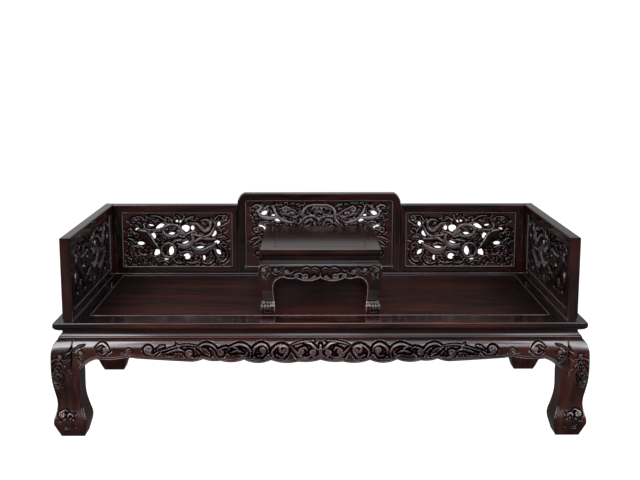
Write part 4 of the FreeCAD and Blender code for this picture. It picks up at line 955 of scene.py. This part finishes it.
@cache
def rosewood(axis, part, carved=0.0):
    """Lacquered rosewood with its grain along an axis. A carving's depth gives it painted shade in its
    hollows and the worn colour on its crests, partly wear and partly painted highlight.

    The seat's wood is painted darker towards the bed's ends, as shadow of the end railings, and its boards
    are worn to satin.
    """
    wood, satin = bpy.context.scene.daybed_wood, part == "boards"
    tone, blur, crest_wear_highlight = FINISH[part]
    material, tree, shader = new_material(
        "rosewood_" + part + "_" + (f"carved_{carved:.0f}_" if carved else "") + axis)
    where = wire(tree, "ShaderNodeTexCoord", {}).outputs["Object"]
    turn = wire(tree, "ShaderNodeMapping", {"Vector": where, "Scale": STRETCH[axis]})
    # Beads take the worn colour throughout: partly wear, partly a painted highlight line.
    dark, heart = (wood.worn, wood.worn) if part in ("bead", "rim") else (wood.dark, wood.heart)
    grain = wire(tree, "ShaderNodeGroup", {
        "Vector": turn.outputs["Vector"], "Dark": (*[c * tone for c in dark], 1),
        "Heart": (*[c * tone for c in heart], 1)}, node_tree=grain_group()).outputs
    dull = 0.12 if satin else 0.0
    rough = ramp(tree, grain["Vein"], start=wood.roughness - 0.05 + dull, end=wood.roughness + 0.08 + dull)
    bump = wire(tree, "ShaderNodeBump", {"Height": grain["Pores"], "Strength": 0.06, "Distance": 0.0006})
    looks = {"Normal": bump.outputs["Normal"], "Base Color": grain["Colour"], "Roughness": rough,
             "Coat Weight": wood.lacquer, "Coat Roughness": blur,
             "Specular IOR Level": 0.12 if satin else 0.0}
    if part in ("seat", "boards"):
        # Painted shadow: the seat's colour falls to 0.15 of itself towards both ends, where the end railings
        # shade it; on the boards the coat thins there too.
        off = calc(tree, "ABSOLUTE", wire(tree, "ShaderNodeSeparateXYZ", {"Vector": where}).outputs["X"])
        painted_end_shade = ramp(tree, off, 0.92, 0.56, smooth=True)
        looks["Base Color"] = mix(tree, 1.0, grain["Colour"], ramp(tree, painted_end_shade, start=0.15), blend="MULTIPLY")
    if satin:
        looks["Specular Tint"] = (1.0, 0.5, 0.45, 1.0)
        looks["Coat Weight"] = ramp(tree, painted_end_shade, end=0.14)
    if carved:
        # The relief drives painted shade in the hollows and the worn colour, partly painted highlight, on the
        # crests.
        relief = wire(tree, "ShaderNodeAttribute", {}, attribute_name="relief").outputs["Fac"]
        relief_shading = wire(tree, "ShaderNodeGroup", {
            "Colour": grain["Colour"], "Worn": (*wood.worn, 1), "Crest wear and highlight": crest_wear_highlight, "Vein": grain["Vein"],
            "Relief": relief, "Depth": carved, "Roughness": rough, "Lacquer": wood.lacquer},
            node_tree=relief_shading_group()).outputs
        looks.update({"Base Color": relief_shading["Colour"], "Roughness": relief_shading["Roughness"],
                      "Coat Weight": relief_shading["Lacquer"]})
    feed(tree, shader, looks)
    return material


@cache
def seam_wax_and_shadow():
    """A dark line where two boards meet: partly old wax, partly painted shadow of the seam's groove."""
    material, tree, shader = new_material("seam_wax_and_shadow")
    dust = noise(tree, wire(tree, "ShaderNodeTexCoord", {}).outputs["Object"], 60, 3)
    feed(tree, shader, {
        "Base Color": mix(tree, dust, (0.0015, 0.0009, 0.0008, 1), (0.006, 0.003, 0.0025, 1)),
        "Roughness": 0.7, "Specular IOR Level": 0.1})
    return material


# Operators, one for each group of pieces

class PieceOperator(bpy.types.Operator):
    """Shared base: makes one group of pieces."""

    bl_options = {"REGISTER"}

    def execute(self, context):
        self.make(context.scene)
        return {"FINISHED"}


# How deep a panel's tongue sits in its frame's groove, and how far inside the panel's edge its bead runs
TONGUE, RIM_INSET = 5.4, 4.6
# Each panel's pattern, side, kind of wood, radius of its corners and mesh cell against the settings' pitch
PANELS = {
    "back_left_panel": ("flank", "rear", "panel", 3.0, 1.0),
    "back_right_panel": ("flank_twin", "rear", "panel", 3.0, 1.0),
    "back_centre_panel": ("centre", "rear", "crown", 16.0, 1.07),
    "end_left_panel": ("end", "left", "end", 3.0, 1.07),
    "end_right_panel": ("end", "right", "end", 3.0, 1.07)}


def facing(points, side):
    """Points of a panel drawn along x, turned to its side of the bed."""
    if side == "rear":
        return points
    return points[:, (1, 0, 2)] * (-1 if side == "left" else 1, 1, 1)


class DAYBED_OT_panels(PieceOperator):
    """Carves and pierces the five railing panels"""

    bl_idname = "daybed.panels"
    bl_label = "Carved panels"

    def make(self, scene):
        carving, bead = scene.daybed_carving, scene.daybed_bead
        depth, pitch = carving.panel_depth / MM, carving.pitch / MM
        for node, (pattern, side, part, corner, cell) in PANELS.items():
            low, high = node_box(node)
            centre, half, axis = (low + high) / 2, (high - low) / 2, "x" if side == "rear" else "y"
            half_x, half_z = half["xy".index(axis)] - TONGUE, half[2] - TONGUE
            strokes, leaves = panel_pattern(pattern, half_x, half_z)
            mesh = pierced_mesh(node + "_carved", half_x, half_z, corner, strokes, leaves, depth,
                                cell * pitch)
            points = np.zeros(len(mesh.vertices) * 3)
            mesh.vertices.foreach_get("co", points)
            world = (facing(points.reshape(-1, 3) / MM, side) + centre) * MM
            mesh.vertices.foreach_set("co", world.ravel())
            if side == "right":
                mesh.flip_normals()
            mesh.update()
            dress(node + "_carved", mesh, rosewood(axis, part, depth), BED, "rosewood_carved", node)
            paths = [facing(path, side) + centre for path in self.rim(half_x, half_z, corner)]
            swept_bead(node + "_bead", paths, True, bead.panel, rosewood(axis, "bead"), BED,
                       "rosewood_carved")

    def rim(self, half_x, half_z, corner):
        """The paths of the bead round a panel, one on each face."""
        run, rise, bend = half_x - RIM_INSET, half_z - RIM_INSET, max(corner - RIM_INSET, 3.0)
        outline = []
        for quarter, (right, up) in enumerate(((1, 1), (-1, 1), (-1, -1), (1, -1))):
            for t in np.radians(np.linspace(90 * quarter, 90 * quarter + 90, 7)):
                outline.append((right * (run - bend) + bend * math.cos(t),
                                up * (rise - bend) + bend * math.sin(t)))
        x, z = np.array(outline).T
        return [np.column_stack([x, np.full(len(x), level), z]) for level in (-PANEL_FACE, PANEL_FACE)]


class DAYBED_OT_stands(PieceOperator):
    """Carves the aprons and legs of the bed and of the kang table, with their beads"""

    bl_idname = "daybed.stands"
    bl_label = "Aprons and legs"

    def make(self, scene):
        carving, edge = scene.daybed_carving, scene.daybed_bead.edge
        for stand in map(measured, STANDS):
            depth, pitch = carving.apron_depth / MM * stand.depth, carving.pitch / MM * stand.pitch
            scrolls, leg_strokes = [spread(rows) for rows in stand.scrolls], spread(stand.leg)
            apron_wood, leg_wood, _ = stand.woods
            for side in SIDES:
                long = side in LONG_SIDES
                reach = -stand.corner[0] if long else stand.middle[1] - stand.corner[1]
                half_drawn = scrolls[0 if long else 1]
                apron = carved_apron(stand, side, reach, mirrored(half_drawn) + half_drawn, depth, pitch)
                axis = "x" if long else "y"
                dress(apron.mesh.name, apron.mesh, rosewood(axis, apron_wood, depth), stand.body,
                      "rosewood_carved", stand.prefix + "apron_" + side)
                self.edge_beads(stand, side, axis, apron, reach, edge * stand.bead)
            for corner, flips in CORNERS.items():
                name = stand.prefix + "carved_leg_" + corner
                mesh = carved_leg(stand, name, flips, leg_strokes, depth, pitch)
                dress(name, mesh, rosewood("z", leg_wood, depth), stand.body, "rosewood_carved",
                      stand.prefix + "leg_" + corner)

    def edge_beads(self, stand, side, axis, apron, reach, radius):
        """Two beads that follow an apron's lower edge and the inner edges of the legs beside it."""
        shape, step = stand.shape, radius / MM
        width = np.interp(stand.ledge - 1, shape.heights, shape.inner)
        rise = np.linspace(stand.ledge, shape.tall * 0.03, 60)
        leg_right = np.column_stack([reach - np.interp(rise, shape.heights, shape.inner), rise])
        keep = np.abs(apron.xs) < reach - width
        lower = np.column_stack([apron.xs[keep], apron.low[keep]])
        outline = np.vstack([leg_right[::-1] * (-1, 1), lower, leg_right])
        way = np.gradient(outline, axis=0)
        way /= np.maximum(np.hypot(*way.T), 1e-9)[:, None]
        for number, (offset, size) in enumerate(((1.1, 1.0), (3.6, 0.72)), 1):
            line = even(outline + np.column_stack([-way[:, 1], way[:, 0]]) * (offset * step), 2.2 * step)
            y = -apron.across + outer_at(shape, line[:, 1]) + 0.25 * step
            path = apron.to_world(line[:, 0], y, line[:, 1] + stand.base)
            wood = rosewood(axis, stand.woods[2] if number == 1 else "edge")
            swept_bead(f"{stand.prefix}bead_{side}_{number}", [path], False, radius * size, wood, stand.body,
                       "rosewood_carved")


def even(line, spacing):
    """A line resampled at even spacing."""
    run = along(line)
    at = np.linspace(0, run[-1], max(8, int(run[-1] / spacing)))
    return np.column_stack([np.interp(at, run, line[:, 0]), np.interp(at, run, line[:, 1])])


def dense(path, step=20.0):
    """A path with more points on its straight runs. A closed one is left without its last point."""
    made = []
    for a, b in zip(np.array(path, float), np.array(path, float)[1:]):
        count = max(2, int(np.linalg.norm(b - a) / step))
        made += [a + (b - a) * t for t in np.arange(count) / count]
    return made if path[0] == path[-1] else made + [np.array(path[-1], float)]


class DAYBED_OT_seams(PieceOperator):
    """Lays the fine beads along the seams of the seat and of the table top, and along the railings' feet"""

    bl_idname = "daybed.seams"
    bl_label = "Seam beads"

    def make(self, scene):
        radius = scene.daybed_bead.seam
        for stand in STANDS:
            rails, (size, sink, wood) = stand["rails"], stand["line"]
            boxes = {side: node_box(rails + side) for side in SIDES}
            left, right = boxes["left"][1][0], boxes["right"][0][0]
            front, rear, top = boxes["front"][1][1], boxes["rear"][0][1], boxes["front"][1][2]
            level = top - sink * radius * size / MM
            path = [(x, y, level) for x, y in ((left, front), (right, front), (right, rear), (left, rear),
                                               (left, front))]
            # On the table top the seam is a dark strip, partly wax and partly painted shadow; on the seat the
            # bead takes the worn colour, partly a painted highlight line.
            material = seam_wax_and_shadow() if wood == "seam" else rosewood("x", wood)
            swept_bead(rails + "seam", [dense(path)], True, radius * size, material, stand["body"],
                       "rosewood_frame")
        low, high = node_box("end_left_bottom_rail")
        inner, front, back, seat = high[0], low[1] + 2, node_box("back_left_bottom_rail")[0][1], low[2]
        path = [(inner, front, seat), (inner, back, seat), (-inner, back, seat), (-inner, front, seat)]
        swept_bead("railing_foot", [dense(path)], False, radius * 0.9, rosewood("x", "bead"), BED,
                   "rosewood_frame")


class DAYBED_OT_plain_parts(PieceOperator):
    """Paints the rails, stiles, boards, battens and waists that keep the frame's own shapes"""

    bl_idname = "daybed.plain_parts"
    bl_label = "Plain parts"

    def make(self, scene):
        for name, node in NODES.items():
            if node.hide_render:
                continue
            axis = "x"
            if "stile" in name or "keys" in name or "pins" in name:
                axis = "z"
            elif "batten" in name or name.endswith(("_left", "_right")) or name.startswith("end_"):
                axis = "y"
            part = next((word for word in ("table", "seat", "waist") if name.startswith(word)), "railing")
            material = rosewood(axis, "boards" if name == "seat_boards" else part)
            if node.material_slots:
                node.material_slots[0].material = material
            else:
                node.data.materials.append(material)


# Half the floor's width, the softboxes' cool white and the eye's place, in metres
FLOOR_REACH, LIGHT_COLOUR, EYE = 14.0, (0.92, 0.93, 1.0), (-0.0297, -4.4188, 1.4853)
# Name, place, what it faces, width, height and brightness of each light
SOFTBOXES = (
    ("left_strip", (-1.58, -2.5, 2.45), (-0.9, -0.5, 0.4), 0.55, 1.9, 14.5),
    ("right_strip", (1.64, -2.5, 2.45), (0.9, -0.5, 0.4), 0.45, 1.6, 10.5),
    ("front_key", (0.0, -5.2, 3.6), (0.0, -0.4, 0.4), 4.2, 1.7, 7.0),
    ("high_front", (0.0, -3.0, 3.9), (0.0, -0.4, 0.4), 3.2, 1.6, 3.0),
    ("overhead", (0.1, -0.6, 2.7), (0.1, -0.3, 0.0), 1.4, 0.8, 6.0),
    ("left_front", (-2.6, -4.2, 1.7), (0.0, 0.0, 0.5), 1.0, 1.8, 24.0),
    ("right_front", (2.6, -4.2, 1.7), (0.0, 0.0, 0.5), 1.0, 1.8, 24.0),
    ("left_side", (-3.7, -1.4, 1.8), (0.0, 0.0, 0.5), 3.0, 1.8, 7.5),
    ("right_side", (3.7, -1.4, 1.8), (0.0, 0.0, 0.5), 3.0, 1.8, 7.5),
    ("left_rear", (-4.0, 2.4, 2.0), (0.0, 0.0, 0.5), 2.4, 2.0, 7.0),
    ("right_rear", (4.0, 2.4, 2.0), (0.0, 0.0, 0.5), 2.4, 2.0, 7.0),
    ("centre_strip", (0.0, -2.5, 2.45), (0.0, -0.4, 0.4), 0.5, 1.0, 9.5),
)


class DAYBED_OT_stage(PieceOperator):
    """Sets the pale floor, the soft studio light and the camera"""

    bl_idname = "daybed.stage"
    bl_label = "Stage"

    def make(self, scene):
        stage = scene.daybed_stage
        mesh, far = bpy.data.meshes.new("floor"), FLOOR_REACH
        mesh.from_pydata([(-far, -far, 0), (far, -far, 0), (far, far, 0), (-far, far, 0)], [], [(0, 1, 2, 3)])
        floor = add_object("floor", mesh)
        mesh.materials.append(self.pale_floor())
        scene.world = self.world()
        for name, place, spot, wide, high, glow in SOFTBOXES:
            light = bpy.data.lights.new(name, "AREA")
            light.shape, light.color = "RECTANGLE", LIGHT_COLOUR
            light.size, light.size_y, light.energy = wide, high, glow * stage.light * math.pi * wide * high
            lamp = add_object(name, light)
            lamp.location = place
            lamp.rotation_euler = (Vector(spot) - Vector(place)).to_track_quat("-Z", "Y").to_euler()
        camera = bpy.data.cameras.new("camera")
        camera.sensor_width, camera.lens = 36.0, stage.lens
        scene.camera = add_object("camera", camera)
        scene.camera.location = EYE
        scene.camera.rotation_euler = (math.pi / 2 - stage.pitch, 0, -0.007)
        scene.view_settings.view_transform = "Standard"

    def pale_floor(self):
        """White to the camera, with a faint contact shadow, and grey to the light that bounces off it."""
        material, tree, shader = new_material("pale_floor")
        seen = wire(tree, "ShaderNodeLightPath", {}).outputs["Is Camera Ray"]
        feed(tree, shader, {
            "Base Color": mix(tree, seen, (0.03, 0.03, 0.03, 1), (0.2, 0.2, 0.2, 1)),
            "Emission Color": mix(tree, seen, (0.04, 0.04, 0.04, 1), (0.985, 0.985, 0.985, 1)),
            "Emission Strength": 1.0, "Roughness": 0.9, "Specular IOR Level": 0.1})
        return material

    def world(self):
        """White behind the object. As light it is brightest low behind it and towards the left."""
        world = bpy.data.worlds.new("studio")
        world.use_nodes = True
        tree = world.node_tree
        where = wire(tree, "ShaderNodeTexCoord", {}).outputs["Generated"]
        split = wire(tree, "ShaderNodeSeparateXYZ", {"Vector": where}).outputs
        back, low = ramp(tree, split["Y"], 0.1, 0.9, end=0.5), ramp(tree, split["Z"], 0.75, 0.1)
        left = ramp(tree, split["X"], 0.5, -0.3, 0.45)
        glow = calc(tree, "MULTIPLY", calc(tree, "MULTIPLY", back, low), left)
        lit = tree.nodes["Background"]
        feed(tree, lit.inputs, {"Color": (1, 1, 1, 1), "Strength": calc(tree, "ADD", glow, 0.012)})
        seen = wire(tree, "ShaderNodeBackground", {"Color": (1, 1, 1, 1), "Strength": 1.05})
        ray = wire(tree, "ShaderNodeLightPath", {})
        both = wire(tree, "ShaderNodeMixShader", {
            0: ray.outputs["Is Camera Ray"], 1: lit.outputs[0], 2: seen.outputs[0]})
        feed(tree, tree.nodes["World Output"].inputs, {"Surface": both.outputs[0]})
        return world


OPERATORS = (DAYBED_OT_panels, DAYBED_OT_stands, DAYBED_OT_seams, DAYBED_OT_plain_parts, DAYBED_OT_stage)
SETTINGS = {"daybed_wood": WoodSettings, "daybed_carving": CarvingSettings, "daybed_bead": BeadSettings,
            "daybed_stage": StageSettings}


class DAYBED_PT_sidebar(bpy.types.Panel):
    """Lists the daybed's settings and the operators that make its pieces"""

    bl_idname = "DAYBED_PT_sidebar"
    bl_label = "Luohan daybed"
    bl_space_type = "VIEW_3D"
    bl_region_type = "UI"
    bl_category = "Daybed"

    def draw(self, context):
        layout = self.layout
        for name in SETTINGS:
            group = getattr(context.scene, name)
            for setting in group.__annotations__:
                layout.prop(group, setting)
        for operator in OPERATORS:
            layout.operator(operator.bl_idname)


def register():
    for group in SETTINGS.values():
        bpy.utils.register_class(group)
    for name, group in SETTINGS.items():
        setattr(bpy.types.Scene, name, bpy.props.PointerProperty(type=group))
    for operator in OPERATORS:
        bpy.utils.register_class(operator)
    bpy.utils.register_class(DAYBED_PT_sidebar)


def unregister():
    bpy.utils.unregister_class(DAYBED_PT_sidebar)
    for operator in reversed(OPERATORS):
        bpy.utils.unregister_class(operator)
    for name in SETTINGS:
        delattr(bpy.types.Scene, name)
    for group in reversed(SETTINGS.values()):
        bpy.utils.unregister_class(group)


def main():
    register()
    bpy.ops.daybed.panels()
    bpy.ops.daybed.stands()
    bpy.ops.daybed.seams()
    bpy.ops.daybed.plain_parts()
    bpy.ops.daybed.stage()


if __name__ == "__main__":
    main()
